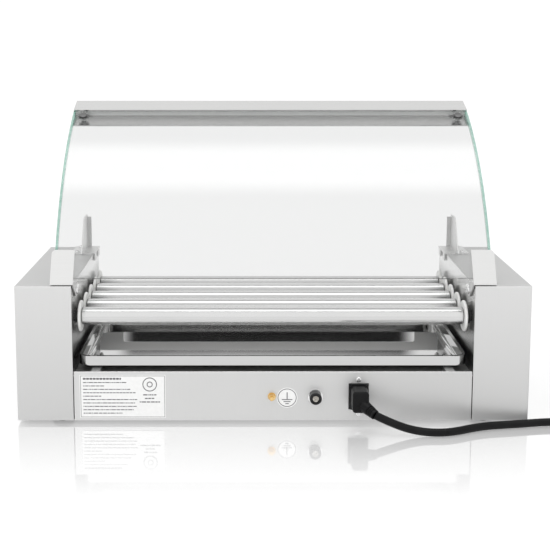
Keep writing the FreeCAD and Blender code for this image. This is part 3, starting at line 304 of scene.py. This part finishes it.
def lined_panel():
    """Brushed sheet outside; its inner side, towards the tray, carries a pale matt coat."""
    made = Shader("operator_panel_shader", STEEL, 0.36, metal=1.0)
    inner = made.math("LESS_THAN", made.part("Y", "Normal"), -0.5)
    lines = made.noise(BRUSH, 2, UPRIGHT)
    tone = made.mix_color(made.range(lines, 0, 1), shade(STEEL, 0.985), shade(STEEL, 1.01))
    made.set_color(made.mix_color(inner, tone, LINING))
    made.link(made.math("MULTIPLY", made.math("SUBTRACT", 1.0, inner), PANEL_METAL),
              made.base.inputs["Metallic"])
    made.set_rough(made.range(inner, 0.36, 0.55, 0.0, 1.0))
    return made.material


def plated_steel():
    color = (0.80, 0.80, 0.80)
    made = Shader("plated_steel_shader", color, 0.16, metal=1.0)
    haze = made.noise(300, 3)
    made.set_rough(made.range(haze, 0.10, 0.24))
    made.set_color(made.mix_color(made.range(haze, 0, 1), color, shade(color, 0.9)))
    return made.material


def plain_metal(name, color, rough):
    made = Shader(name, color, rough, metal=1.0)
    haze = made.noise(120, 4)
    made.set_color(made.mix_color(made.range(haze, 0, 1), shade(color, 0.85), shade(color, 1.1)))
    made.set_rough(made.range(haze, rough * 0.8, rough * 1.25))
    made.bump(haze, 0.1, 0.0001)
    return made.material


def brass():
    color = (0.83, 0.60, 0.27)
    made = Shader("brass_shader", color, 0.28, metal=1.0)
    tarnish = made.noise(220, 4)
    made.set_color(made.mix_color(made.range(tarnish, 0, 1), (0.62, 0.42, 0.18), color))
    made.set_rough(made.range(tarnish, 0.42, 0.2))
    return made.material


# ---------------------------------------------------------------- plastic, rubber and paper

BLACK_MOULDING = (0.008, 0.008, 0.0085)
KNOB_BLACK = (0.014, 0.014, 0.015)
KNOB_AXIS = axis_of("knob_right_turn")      # the left knob's is its mirror image
POINTER_HALF_WIDTH = 0.0009
POINTER_START = 0.0050                      # above the knob's axis
POINTER_WHITE = (0.80, 0.80, 0.79)
FUSE_AXIS = axis_of("fuse_cap_turn")
FUSE_INSERT_R = 0.0034


def moulded_plastic(name, color, rough, grain=900, strength=0.08, spread=1.25, spec=0.5):
    made = Shader(name, color, rough, spec=spec)
    texture = made.noise(grain, 3)
    haze = made.noise(40, 3)
    made.set_color(made.mix_color(made.range(haze, 0, 1), shade(color, 1 / spread),
                                  shade(color, spread)))
    made.set_rough(made.range(haze, rough * 0.9, rough * 1.12))
    made.bump(texture, strength, 0.00008)
    return made.material


def knob_plastic():
    """Black grained moulding with a white pointer line on the upper half of its grip bar."""
    made = Shader("knob_plastic_shader", KNOB_BLACK, 0.36, spec=0.35)
    across = made.math("SUBTRACT", made.math("ABSOLUTE", made.part("X")), KNOB_AXIS[0])
    narrow = made.math("LESS_THAN", made.math("ABSOLUTE", across), POINTER_HALF_WIDTH)
    upper = made.math("GREATER_THAN", made.part("Z"), KNOB_AXIS[1] + POINTER_START)
    line = made.math("MULTIPLY", narrow, upper)
    haze = made.noise(40, 3)
    tone = made.mix_color(made.range(haze, 0, 1), shade(KNOB_BLACK, 0.8), shade(KNOB_BLACK, 1.25))
    made.set_color(made.mix_color(line, tone, POINTER_WHITE))
    made.set_rough(made.range(haze, 0.32, 0.40))
    made.bump(made.noise(1200, 3), 0.12, 0.00008)
    return made.material


def fuse_cap_plastic():
    """Black moulding with a bright metal insert in its middle."""
    made = Shader("fuse_cap_shader", BLACK_MOULDING, 0.30, spec=0.3)
    away = made.length(made.math("SUBTRACT", made.part("X"), FUSE_AXIS[0]),
                       made.math("SUBTRACT", made.part("Z"), FUSE_AXIS[1]))
    insert = made.math("LESS_THAN", away, FUSE_INSERT_R)
    haze = made.noise(400, 3)
    metal = made.mix_color(made.range(haze, 0, 1), (0.30, 0.28, 0.25), (0.52, 0.50, 0.46))
    made.set_color(made.mix_color(insert, BLACK_MOULDING, metal))
    made.link(insert, made.base.inputs["Metallic"])
    return made.material


def collar_plastic():
    """Milky heat-proof plastic with greyer patches of grease."""
    color = (0.90, 0.90, 0.89)
    made = Shader("collar_plastic_shader", color, 0.38)
    made.base.inputs["Subsurface Weight"].default_value = 0.15
    made.base.inputs["Subsurface Radius"].default_value = (0.002, 0.002, 0.002)
    stain = made.noise(90, 5)
    made.set_color(made.mix_color(made.range(stain, 0, 1, 0.4, 0.8), color, (0.70, 0.69, 0.66)))
    made.set_rough(made.range(stain, 0.32, 0.5))
    made.bump(made.noise(600, 2), 0.05, 0.00008)
    return made.material


def cord_rubber(name, color):
    made = Shader(name, color, 0.30, spec=0.12)
    grain = made.noise(1400, 2)
    haze = made.noise(60, 3)
    made.set_color(made.mix_color(made.range(haze, 0, 1), shade(color, 0.75), shade(color, 1.5)))
    made.set_rough(made.range(haze, 0.26, 0.40))
    made.bump(grain, 0.08, 0.00006)
    return made.material


def sticker_paper():
    color = (0.80, 0.80, 0.795)
    made = Shader("sticker_paper_shader", color, 0.42)
    fibre = made.noise(260, 4)
    made.set_color(made.mix_color(made.range(fibre, 0, 1), shade(color, 0.97), shade(color, 1.03)))
    made.bump(fibre, 0.05, 0.00003)
    return made.material


def ink(name, color):
    made = Shader(name, color, 0.6)
    patch = made.noise(500, 3)
    made.set_color(made.mix_color(made.range(patch, 0, 1), color, shade(color, 1.25)))
    return made.material


# ---------------------------------------------------------------- glass and lamps

GLASS_AXIS = (0.2038, 0.0441)     # Y and Z of the line that the pane is bent round, at rest
GLASS_HALF_WIDTH = float(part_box("hood_glass")[1][0])
GLASS_GROUND = 0.0024             # how far in from its sides the pane glows green
GLASS_CLEAR = (0.890, 0.892, 0.891, 1)
GLASS_GREENS = ((0.16, 0.36, 0.29), (0.30, 0.50, 0.43))
GLASS_EDGES = ((0.06, 0.065, 0.063), (0.78, 0.80, 0.79))    # its bottom edge, dark with painted shade, and its top edge
GLASS_EDGE_FADE = (0.18, 0.25)    # heights between which the one turns into the other
GLASS_MIRROR = (0.042, 0.9)       # its reflection seen square on, and how much the slant adds


def clear_glass():
    """Clear bent pane: faint sharp reflections, sea green along its ground edges, and painted shade
    along its bottom edge.
    """
    made = Shader("clear_glass_shader", (1, 1, 1), 0.12)
    clear = made.node("ShaderNodeBsdfTransparent")
    clear.inputs["Color"].default_value = GLASS_CLEAR
    gloss = made.node("ShaderNodeBsdfGlossy")
    gloss.inputs["Color"].default_value = (1, 1, 1, 1)
    gloss.inputs["Roughness"].default_value = 0.015
    weight = made.node("ShaderNodeLayerWeight")
    grazing = made.math("POWER", weight.outputs["Facing"], 5.0)
    mirror = made.math("ADD", made.math("MULTIPLY", grazing, GLASS_MIRROR[1]), GLASS_MIRROR[0])
    face = made.mix_shader(mirror, clear.outputs[0], gloss.outputs[0])

    streak = made.noise(90, 3, (1, 1, 3))
    tint = made.mix_color(made.range(streak, 0, 1), *GLASS_GREENS)
    level = made.range(made.part("Z"), 0, 1, *GLASS_EDGE_FADE)
    # painted shade on the bottom edge, fading into the pale top edge
    plain = made.mix_color(level, *GLASS_EDGES)
    y = made.math("SUBTRACT", made.part("Y"), GLASS_AXIS[0])
    z = made.math("SUBTRACT", made.part("Z"), GLASS_AXIS[1])
    outward = made.math("ADD", made.math("MULTIPLY", y, made.part("Y", "Normal")),
                        made.math("MULTIPLY", z, made.part("Z", "Normal")))
    facing = made.math("ABSOLUTE", made.math("DIVIDE", outward, made.length(y, z)))
    edge = made.math("LESS_THAN", facing, 0.7)
    rim = made.math("GREATER_THAN", made.math("ABSOLUTE", made.part("X")),
                    GLASS_HALF_WIDTH - GLASS_GROUND)
    made.set_color(made.mix_color(rim, plain, tint))

    # the bottom edge is made nearly solid so that its painted shade shows
    low_edge = made.math("MULTIPLY", made.math("SUBTRACT", 1.0, level), 0.95)
    between_rims = made.math("MULTIPLY", low_edge, made.math("SUBTRACT", 1.0, rim))
    solid = made.math("MAXIMUM", made.math("MULTIPLY", rim, 0.62), 0.45)
    made.link(made.math("MAXIMUM", solid, between_rims), made.base.inputs["Alpha"])
    made.set_surface(made.mix_shader(made.math("MAXIMUM", edge, rim), face, made.base.outputs[0]))
    return made.material


def lamp_lens():
    color = (0.80, 0.28, 0.04)
    made = Shader("lamp_lens_shader", color, 0.12)
    made.base.inputs["Coat Weight"].default_value = 0.5
    facets = made.noise(420, 1)
    made.set_color(made.mix_color(made.range(facets, 0, 1), (0.60, 0.16, 0.02), (0.95, 0.42, 0.08)))
    made.bump(facets, 0.3, 0.0003)
    return made.material


# ---------------------------------------------------------------- what wears which material

MATERIALS = {
    "stainless_sheet": brushed_steel("stainless_sheet_shader", STEEL, 0.36, metal=PANEL_METAL),
    "service_panel": panel_with_painted_light(),
    "housing_steel": housing_steel(),
    "operator_panel": lined_panel(),
    "fuse_cap": fuse_cap_plastic(),
    "rest_steel": brushed_steel("rest_steel_shader", (0.74, 0.74, 0.735), 0.42),
    "inner_sheet": wall_steel(),
    "clamp_steel": brushed_steel("clamp_steel_shader", (0.67, 0.67, 0.665), 0.32, LENGTHWISE),
    "bar_steel": brushed_steel("bar_steel_shader", (0.66, 0.66, 0.655), 0.26, LENGTHWISE),
    "polished_steel": turned_steel("polished_steel_shader", (0.63, 0.63, 0.627), 0.17),
    "tray_steel": tray_steel(),
    "plated_steel": plated_steel(),
    "screw_steel": plain_metal("screw_steel_shader", (0.18, 0.18, 0.18), 0.22),
    "zinc_steel": plain_metal("zinc_steel_shader", (0.60, 0.62, 0.64), 0.36),
    "dark_steel": plain_metal("dark_steel_shader", (0.26, 0.26, 0.27), 0.40),
    "motor_aluminium": plain_metal("motor_aluminium_shader", (0.58, 0.58, 0.60), 0.45),
    "collar_plastic": collar_plastic(),
    "bush_plastic": moulded_plastic("bush_plastic_shader", (0.07, 0.07, 0.07), 0.45),
    "clear_glass": clear_glass(),
    "black_rubber": cord_rubber("black_rubber_shader", (0.012, 0.012, 0.012)),
    "black_plastic": moulded_plastic("black_plastic_shader", BLACK_MOULDING, 0.30, spec=0.3),
    "knob_plastic": knob_plastic(),
    "rocker_plastic": moulded_plastic("rocker_plastic_shader", (0.50, 0.025, 0.02), 0.22, grain=500,
                                      strength=0.03, spread=1.1),
    "lamp_lens": lamp_lens(),
    "brass": brass(),
    "sticker": sticker_paper(),
    "ceramic_block": moulded_plastic("ceramic_block_shader", (0.82, 0.79, 0.72), 0.55),
    "cord_jacket": cord_rubber("cord_jacket_shader", (0.006, 0.006, 0.0063)),
    "ink_grey": ink("ink_grey_shader", (0.10, 0.10, 0.105)),
    "ink_black": ink("ink_black_shader", (0.05, 0.05, 0.055)),
}

# Nodes that look different from the others with their material slot.
OWN_LOOKS = {"inner_wall_left": "inner_sheet", "inner_wall_right": "inner_sheet",
             "hood_top_bar": "bar_steel", "operator_panel": "operator_panel",
             "fuse_cap": "fuse_cap", "rest_brackets": "rest_steel",
             "housing_cover_left": "housing_steel", "housing_cover_right": "housing_steel",
             "service_panel": "service_panel", "hood_bar_screws": "screw_steel"}


def dress_cad():
    slots = {row["node"]: row["material_slot"] for row in frame["record"]["subparts"]}
    for node, piece in frame["nodes"].items():
        material = MATERIALS[OWN_LOOKS.get(node, slots[node])]
        for slot in piece.material_slots:
            slot.material = material


dress_cad()


# ---------------------------------------------------------------- shape helpers

def add_object(name, data, material):
    """A new piece. All of them sit on the parts that don't move."""
    piece = bpy.data.objects.new(name, data)
    bpy.context.collection.objects.link(piece)
    data.materials.append(MATERIALS[material])
    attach(piece, "chassis")
    return piece


def print_object(name, bm, material):
    mesh = bpy.data.meshes.new(name)
    bmesh.ops.recalc_face_normals(bm, faces=bm.faces[:])
    bm.to_mesh(mesh)
    bm.free()
    return add_object(name, mesh, material)


def add_block(bm, low, high):
    """One closed box between two corners, in metres."""
    verts = [bm.verts.new((x, y, z)) for x in (low[0], high[0]) for y in (low[1], high[1])
             for z in (low[2], high[2])]
    for corners in ((0, 1, 3, 2), (4, 6, 7, 5), (0, 4, 5, 1), (2, 3, 7, 6), (0, 2, 6, 4),
                    (1, 5, 7, 3)):
        bm.faces.new([verts[corner] for corner in corners])


def add_ring(bm, centre, inner, outer, y0, y1, steps=48, start=0.0, sweep=360.0):
    """A flat ring, or a stretch of one, in the XZ plane between two Y planes."""
    whole = sweep >= 360.0
    count = steps if whole else steps + 1
    loops = []
    for step in range(count):
        angle = math.radians(start + sweep * step / steps)
        loop = []
        for radius, y in ((inner, y0), (outer, y0), (outer, y1), (inner, y1)):
            loop.append(bm.verts.new((centre[0] + radius * math.cos(angle), y,
                                      centre[1] + radius * math.sin(angle))))
        loops.append(loop)
    for step in range(steps):
        here = loops[step]
        there = loops[(step + 1) % count]
        for corner in range(4):
            after = (corner + 1) % 4
            bm.faces.new((here[corner], here[after], there[after], there[corner]))
    if not whole:
        bm.faces.new(loops[0])
        bm.faces.new(loops[-1])


def spline_object(name, points, diameter, material, closed=False, facets=5, steps=10):
    """A round cord or wire through a list of points, open or closed into a loop."""
    curve = bpy.data.curves.new(name, "CURVE")
    curve.dimensions = "3D"
    curve.bevel_depth = diameter / 2
    curve.bevel_resolution = facets
    curve.resolution_u = steps
    curve.use_fill_caps = not closed
    spline = curve.splines.new("NURBS")
    spline.points.add(len(points) - 1)
    for point, place in zip(spline.points, points):
        point.co = (*place, 1)
    spline.order_u = 3
    spline.use_endpoint_u = not closed
    spline.use_cyclic_u = closed
    return add_object(name, curve, material)


# ---------------------------------------------------------------- mains cord

CORD_DIAMETER = 0.009
CORD_ROUTE = [
    (0.1120, -0.1490, 0.0225),
    (0.1360, -0.1530, 0.0116),
    (0.1640, -0.1538, 0.0047),
    (0.1930, -0.1555, 0.0047),
    (0.2320, -0.1355, 0.0047),
    (0.2720, -0.1296, 0.0047),
    (0.3160, -0.1215, 0.0047),
    (0.3800, -0.1225, 0.0047),
]
TAIL_ROUTE = [
    (0.4550, -0.0470, 0.0136),
    (0.4553, -0.0290, 0.0126),
    (0.4550, -0.0110, 0.0127),
]

COIL_STEPS = 18                   # points in each turn
COIL_FLOOR_TURNS = 2.0
COIL_CLIMB_TURNS = 0.35
COIL_TURNS = 4.25
COIL_GAP = 0.0003                 # between turns side by side, and round the outside
COIL_PRESS = 0.0001               # how far the upper turns sink into the lower ones

TIE_POINTS = 20
TIE_WIRE = 0.0014
TIE_MIDDLE = 0.0472               # from the coil's middle to the tie's
TIE_HALF_WIDE = 0.0150
TIE_HALF_HIGH = 0.0098
TIE_LOWEST = 0.0090               # how far the tie may hang below its middle
TIE_SQUARENESS = 0.6


def coil_centre():
    low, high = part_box("cord_coil")
    return (low[0] + high[0]) / 2, (low[1] + high[1]) / 2


def coil_points():
    """Two turns on the floor from the outside in, and the rest outwards on top of them."""
    low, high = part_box("cord_coil")
    centre_x, centre_y = coil_centre()
    pitch = CORD_DIAMETER + COIL_GAP
    outer = (high[0] - low[0]) / 2 - CORD_DIAMETER / 2 - COIL_GAP
    inner = outer - pitch * COIL_FLOOR_TURNS
    leave = TAIL_ROUTE[0][0] - centre_x
    floor_z = CORD_ROUTE[-1][2]
    points = []
    for step in range(1, int(COIL_STEPS * COIL_TURNS) + 1):
        turn = step / COIL_STEPS
        over = max(0.0, turn - COIL_FLOOR_TURNS)
        rise = min(1.0, over / COIL_CLIMB_TURNS)
        rise = rise * rise * (3 - 2 * rise)
        out = max(0.0, over - COIL_CLIMB_TURNS) / (COIL_TURNS - COIL_FLOOR_TURNS - COIL_CLIMB_TURNS)
        radius = max(inner, outer - pitch * turn) + (leave - inner) * out
        angle = math.radians(-90 + 360 * turn)
        points.append((centre_x + radius * math.cos(angle), centre_y + radius * math.sin(angle),
                       floor_z + (CORD_DIAMETER - COIL_PRESS) * rise))
    return points


def mains_cord():
    points = CORD_ROUTE + coil_points() + TAIL_ROUTE[1:]
    cord = spline_object("mains_cord", points, CORD_DIAMETER, "cord_jacket")
    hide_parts("cord_tube", "cord_coil", "cord_tail")
    return cord


def coil_tie():
    """Twist tie round the coil's inner side, away from the plug."""
    centre_x, centre_y = coil_centre()
    points = []
    for step in range(TIE_POINTS):
        angle = 2 * math.pi * step / TIE_POINTS
        squash = 1 / max(abs(math.cos(angle)), abs(math.sin(angle))) ** TIE_SQUARENESS
        across = TIE_HALF_WIDE * math.cos(angle) * squash
        up = TIE_HALF_HIGH * math.sin(angle) * squash
        points.append((centre_x - TIE_MIDDLE - across, centre_y,
                       TIE_HALF_HIGH + max(-TIE_LOWEST, min(TIE_HALF_HIGH, up))))
    return spline_object("cord_tie", points, TIE_WIRE, "black_rubber", closed=True, facets=3,
                         steps=12)


CORD = mains_cord()
TIE = coil_tie()


# ---------------------------------------------------------------- printed details

PRINT_BEFORE = 0.00006            # a print's planes, towards -Y and +Y of the face it lies on
PRINT_AFTER = 0.00005
LABEL_LOW, LABEL_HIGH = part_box("panel_labels")
LABEL_Y = LABEL_LOW[1]
RATING_WIDTH = 97.2 * MM
RATING_MARGIN = 0.9 * MM
RATING_BORDER = 0.45 * MM
RATING_INDENT = 3 * MM            # from the border to the start of each row
HEADING_LENGTH = 43 * MM
HEADING_DROP = 4.6 * MM           # from the border's top to the heading's foot
HEADING_HEIGHT = 2.2 * MM
ROW_LENGTHS = (50, 24, 54, 60, 22, 61, 60, 61, 58, 44)      # in millimetres
ROW_DROP = 8.4 * MM
ROW_PITCH = 4.0 * MM
ROW_HEIGHT = 1.0 * MM
MARK_IN = 17 * MM                 # from the border's right to the middle of the ring
MARK_DROP = 10.2 * MM
MARK_RINGS = ((7.2, 8.2), (2.4, 3.4))                       # inner and outer radii in millimetres
MARK_ROW_LENGTHS = (15, 11, 23)                             # in millimetres
MARK_ROW_DROP = 23.0 * MM
MARK_ROW_PITCH = 4.2 * MM
MARK_ROW_HEIGHT = 1.3 * MM
DASH_SHORTEST = 0.8 * MM
DASH_STEP = 0.45 * MM             # longer dashes grow by steps of this
DASH_GAP = 0.7 * MM

EARTH_IN = 11.8 * MM              # from the labels' right end to the middle of the sign
EARTH_Z = 30.5 * MM
EARTH_RING = (9.9, 10.7)          # the rest of the sign is in millimetres from its middle
EARTH_STROKE = (0.55, -1.6, 6.4)  # half width, foot and top
EARTH_BARS = ((6.0, -2.2), (4.0, -4.6), (2.0, -7.0))        # half width and height
EARTH_BAR_HALF = 0.5

DIAL_R = 20.5 * MM
DIAL_LONG = 2.8 * MM
DIAL_SHORT = 1.6 * MM
DIAL_TICKS = 13
DIAL_LONG_EVERY = 3
DIAL_SWEEP = 270.0
DIAL_TICK = 2.0                   # degrees that a tick spans


def print_block(bm, x0, x1, z0, z1):
    add_block(bm, (x0, LABEL_Y - PRINT_BEFORE, z0), (x1, LABEL_Y + PRINT_AFTER, z1))


def print_ring(bm, centre, radii, steps=48):
    add_ring(bm, centre, radii[0] * MM, radii[1] * MM, LABEL_Y - PRINT_BEFORE,
             LABEL_Y + PRINT_AFTER, steps)


def word_row(bm, x0, x1, z, height, seed):
    """A row of plain dashes that stands for a line of small print."""
    x = x0
    count = seed
    while x < x1 - MM:
        count = (count * 7 + 3) % 11
        width = DASH_SHORTEST + DASH_STEP * count
        end = min(x + width, x1)
        print_block(bm, x, end, z, z + height)
        x = end + DASH_GAP


def rating_print():
    """Border, heading, rows of dashes and a plain ring: no words and no marks."""
    x0 = LABEL_LOW[0] + RATING_MARGIN
    x1 = LABEL_LOW[0] + RATING_WIDTH - RATING_MARGIN
    z0 = LABEL_LOW[2] + RATING_MARGIN
    z1 = LABEL_HIGH[2] - RATING_MARGIN
    border = bmesh.new()
    print_block(border, x0, x1, z0, z0 + RATING_BORDER)
    print_block(border, x0, x1, z1 - RATING_BORDER, z1)
    print_block(border, x0, x0 + RATING_BORDER, z0 + RATING_BORDER, z1 - RATING_BORDER)
    print_block(border, x1 - RATING_BORDER, x1, z0 + RATING_BORDER, z1 - RATING_BORDER)
    print_object("rating_border", border, "ink_grey")

    start = x0 + RATING_INDENT
    heading = bmesh.new()
    word_row(heading, start, start + HEADING_LENGTH, z1 - HEADING_DROP, HEADING_HEIGHT, 5)
    print_object("rating_heading", heading, "ink_grey")

    rows = bmesh.new()
    for row, length in enumerate(ROW_LENGTHS):
        z = z1 - ROW_DROP - ROW_PITCH * row
        word_row(rows, start, start + length * MM, z, ROW_HEIGHT, row + 2)
    middle = x1 - MARK_IN
    for row, length in enumerate(MARK_ROW_LENGTHS):
        z = z1 - MARK_ROW_DROP - MARK_ROW_PITCH * row
        word_row(rows, middle - length / 2 * MM, middle + length / 2 * MM, z, MARK_ROW_HEIGHT,
                 row + 4)
    print_object("rating_rows", rows, "ink_grey")

    ring = bmesh.new()
    for radii in MARK_RINGS:
        print_ring(ring, (middle, z1 - MARK_DROP), radii)
    print_object("rating_ring", ring, "ink_grey")


def earth_print():
    """The earth sign: a ring, an upright stroke and three bars."""
    x = LABEL_HIGH[0] - EARTH_IN
    z = EARTH_Z
    half_width, foot, top = (size * MM for size in EARTH_STROKE)
    sign = bmesh.new()
    print_ring(sign, (x, z), EARTH_RING, 64)
    print_block(sign, x - half_width, x + half_width, z + foot, z + top)
    for half, level in EARTH_BARS:
        print_block(sign, x - half * MM, x + half * MM, z + (level - EARTH_BAR_HALF) * MM,
                    z + (level + EARTH_BAR_HALF) * MM)
    print_object("earth_print", sign, "ink_grey")


def dial_prints():
    """A fan of ticks round each knob, longer every third one."""
    face_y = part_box("operator_panel")[1][1]
    marks = bmesh.new()
    for side in (-1, 1):
        centre = (side * KNOB_AXIS[0], KNOB_AXIS[1])
        for tick in range(DIAL_TICKS):
            outer = DIAL_R + (DIAL_LONG if tick % DIAL_LONG_EVERY == 0 else DIAL_SHORT)
            angle = 90 + DIAL_SWEEP * (tick / (DIAL_TICKS - 1) - 0.5)
            add_ring(marks, centre, DIAL_R, outer, face_y - PRINT_BEFORE, face_y + PRINT_AFTER, 1,
                     angle - DIAL_TICK / 2, DIAL_TICK)
    print_object("dial_prints", marks, "ink_black")


rating_print()
earth_print()
dial_prints()


# ---------------------------------------------------------------- studio

FLOOR_HALF = 400.0
FLOOR_DROP = 0.0002
FLOOR_GREY = (0.36, 0.36, 0.36)
FLOOR_GLOW = 0.62
FLOOR_SHEEN = 0.50
FLOOR_SHEEN_ROUGH = 0.04
FLOOR_FADE_Y = (0.14, 0.33)       # distances from the middle over which the sheen fades away
FLOOR_FADE_X = (0.32, 0.60)

ROOM_LEVEL = 1.0
BACKDROP_LEVEL = 1.05             # what the camera sees where there is neither grill nor floor
FRONT_GAIN = 0.2                  # how much brighter the room is on the mains inlet side
FRONT_Y = (-0.1, -0.5)
OVERHEAD_GAIN = 1.9
OVERHEAD_SHIFT = 0.08             # how far the overhead panel leans towards the mains inlet side
OVERHEAD_HALF = (0.12, 0.30)
OVERHEAD_HEIGHT = (0.85, 0.94)
SIDE_FALL = 0.07                  # how much dimmer the room is on the far right than in the middle
DOORWAY_X = ((-0.125, -0.105), (0.142, 0.162))
DOORWAY_Y = (0.3, 0.5)
DOORWAY_Z = ((0.238, 0.250), (0.290, 0.305))
DOORWAY_DIM = 0.985

LIGHT_PLACE = (-0.9, -1.9, 1.5)
LIGHT_TARGET = (0, 0, 0.15)
LIGHT_SIZE = (1.4, 1.0)
LIGHT_POWER = 4


def studio_floor():
    """White floor with a mirror sheen that fades out round the grill."""
    bm = bmesh.new()
    verts = [bm.verts.new((x * FLOOR_HALF, y * FLOOR_HALF, 0))
             for x, y in ((-1, -1), (1, -1), (1, 1), (-1, 1))]
    bm.faces.new(verts)
    mesh = bpy.data.meshes.new("studio_floor")
    bm.to_mesh(mesh)
    bm.free()
    floor = bpy.data.objects.new("studio_floor", mesh)
    bpy.context.collection.objects.link(floor)
    made = Shader("studio_floor_shader", FLOOR_GREY, 0.6, spec=0.0)
    made.base.inputs["Emission Color"].default_value = (1, 1, 1, 1)
    made.base.inputs["Emission Strength"].default_value = FLOOR_GLOW
    sheen = made.node("ShaderNodeBsdfGlossy")
    sheen.inputs["Color"].default_value = (1, 1, 1, 1)
    sheen.inputs["Roughness"].default_value = FLOOR_SHEEN_ROUGH
    near_y = made.range(made.math("ABSOLUTE", made.part("Y")), FLOOR_SHEEN, 0, *FLOOR_FADE_Y)
    near_x = made.range(made.math("ABSOLUTE", made.part("X")), 1, 0, *FLOOR_FADE_X)
    made.set_surface(made.mix_shader(made.math("MULTIPLY", near_y, near_x), made.base.outputs[0],
                                     sheen.outputs[0]))
    mesh.materials.append(made.material)
    floor.location.z = -FLOOR_DROP


def front_light():
    """One large weak lamp, high on the left of the mains inlet side."""
    data = bpy.data.lights.new("front_light", "AREA")
    data.shape = "RECTANGLE"
    data.size, data.size_y = LIGHT_SIZE
    data.energy = LIGHT_POWER
    light = bpy.data.objects.new("front_light", data)
    bpy.context.collection.objects.link(light)
    light.location = LIGHT_PLACE
    aim = Vector(LIGHT_TARGET) - Vector(LIGHT_PLACE)
    light.rotation_euler = aim.to_track_quat("-Z", "Y").to_euler()
    light.visible_glossy = False


class Room:
    """The world's node tree, with short calls that work on the direction of a ray."""

    def __init__(self):
        world = bpy.data.worlds.new("studio")
        bpy.context.scene.world = world
        world.use_nodes = True
        self.tree = world.node_tree
        coords = self.tree.nodes.new("ShaderNodeTexCoord")
        parts = self.tree.nodes.new("ShaderNodeSeparateXYZ")
        self.tree.links.new(coords.outputs["Generated"], parts.inputs[0])
        self.x, self.y, self.z = parts.outputs

    def put(self, socket, value):
        if isinstance(value, (int, float)):
            socket.default_value = value
        else:
            self.tree.links.new(value, socket)

    def math(self, operation, first, second=0.0):
        made = self.tree.nodes.new("ShaderNodeMath")
        made.operation = operation
        self.put(made.inputs[0], first)
        self.put(made.inputs[1], second)
        return made.outputs[0]

    def step(self, source, start, end):
        """0 up to start, 1 from end on, or the other way round if end is the lower."""
        made = self.tree.nodes.new("ShaderNodeMapRange")
        made.interpolation_type = "SMOOTHSTEP"
        low, high = min(start, end), max(start, end)
        made.inputs["From Min"].default_value = low
        made.inputs["From Max"].default_value = high
        made.inputs["To Min"].default_value = 0.0 if start < end else 1.0
        made.inputs["To Max"].default_value = 1.0 if start < end else 0.0
        self.put(made.inputs["Value"], source)
        return made.outputs["Result"]

    def product(self, *factors):
        result = factors[0]
        for factor in factors[1:]:
            result = self.math("MULTIPLY", result, factor)
        return result

    def light(self, level):
        """A white background, as bright as the level says."""
        made = self.tree.nodes.new("ShaderNodeBackground")
        made.inputs["Color"].default_value = (1, 1, 1, 1)
        self.put(made.inputs["Strength"], level)
        return made.outputs[0]


def studio_world():
    """Even white room with a soft panel overhead and a dark doorway low behind the grill."""
    room = Room()
    across = room.math("ABSOLUTE", room.math("ADD", room.y, OVERHEAD_SHIFT))
    overhead = room.product(room.step(across, OVERHEAD_HALF[1], OVERHEAD_HALF[0]),
                            room.step(room.z, *OVERHEAD_HEIGHT), OVERHEAD_GAIN)
    even = room.math("ADD", overhead, ROOM_LEVEL)
    sides = room.math("SUBTRACT", 1.0, room.math("MULTIPLY", room.x, SIDE_FALL))
    doorway = room.product(room.step(room.x, *DOORWAY_X[0]), room.step(room.x, *DOORWAY_X[1][::-1]),
                           room.step(room.z, *DOORWAY_Z[0]), room.step(room.z, *DOORWAY_Z[1][::-1]),
                           room.step(room.y, *DOORWAY_Y), DOORWAY_DIM)
    front = room.math("ADD", 1.0, room.math("MULTIPLY", room.step(room.y, *FRONT_Y), FRONT_GAIN))
    level = room.product(even, sides, front, room.math("SUBTRACT", 1.0, doorway))
    seen = room.tree.nodes.new("ShaderNodeLightPath")
    both = room.tree.nodes.new("ShaderNodeMixShader")
    room.put(both.inputs[0], seen.outputs["Is Camera Ray"])
    room.put(both.inputs[1], room.light(level))
    room.put(both.inputs[2], room.light(BACKDROP_LEVEL))
    room.put(room.tree.nodes["World Output"].inputs["Surface"], both.outputs[0])


studio_floor()
studio_world()
front_light()
bpy.context.scene.view_settings.view_transform = "Standard"
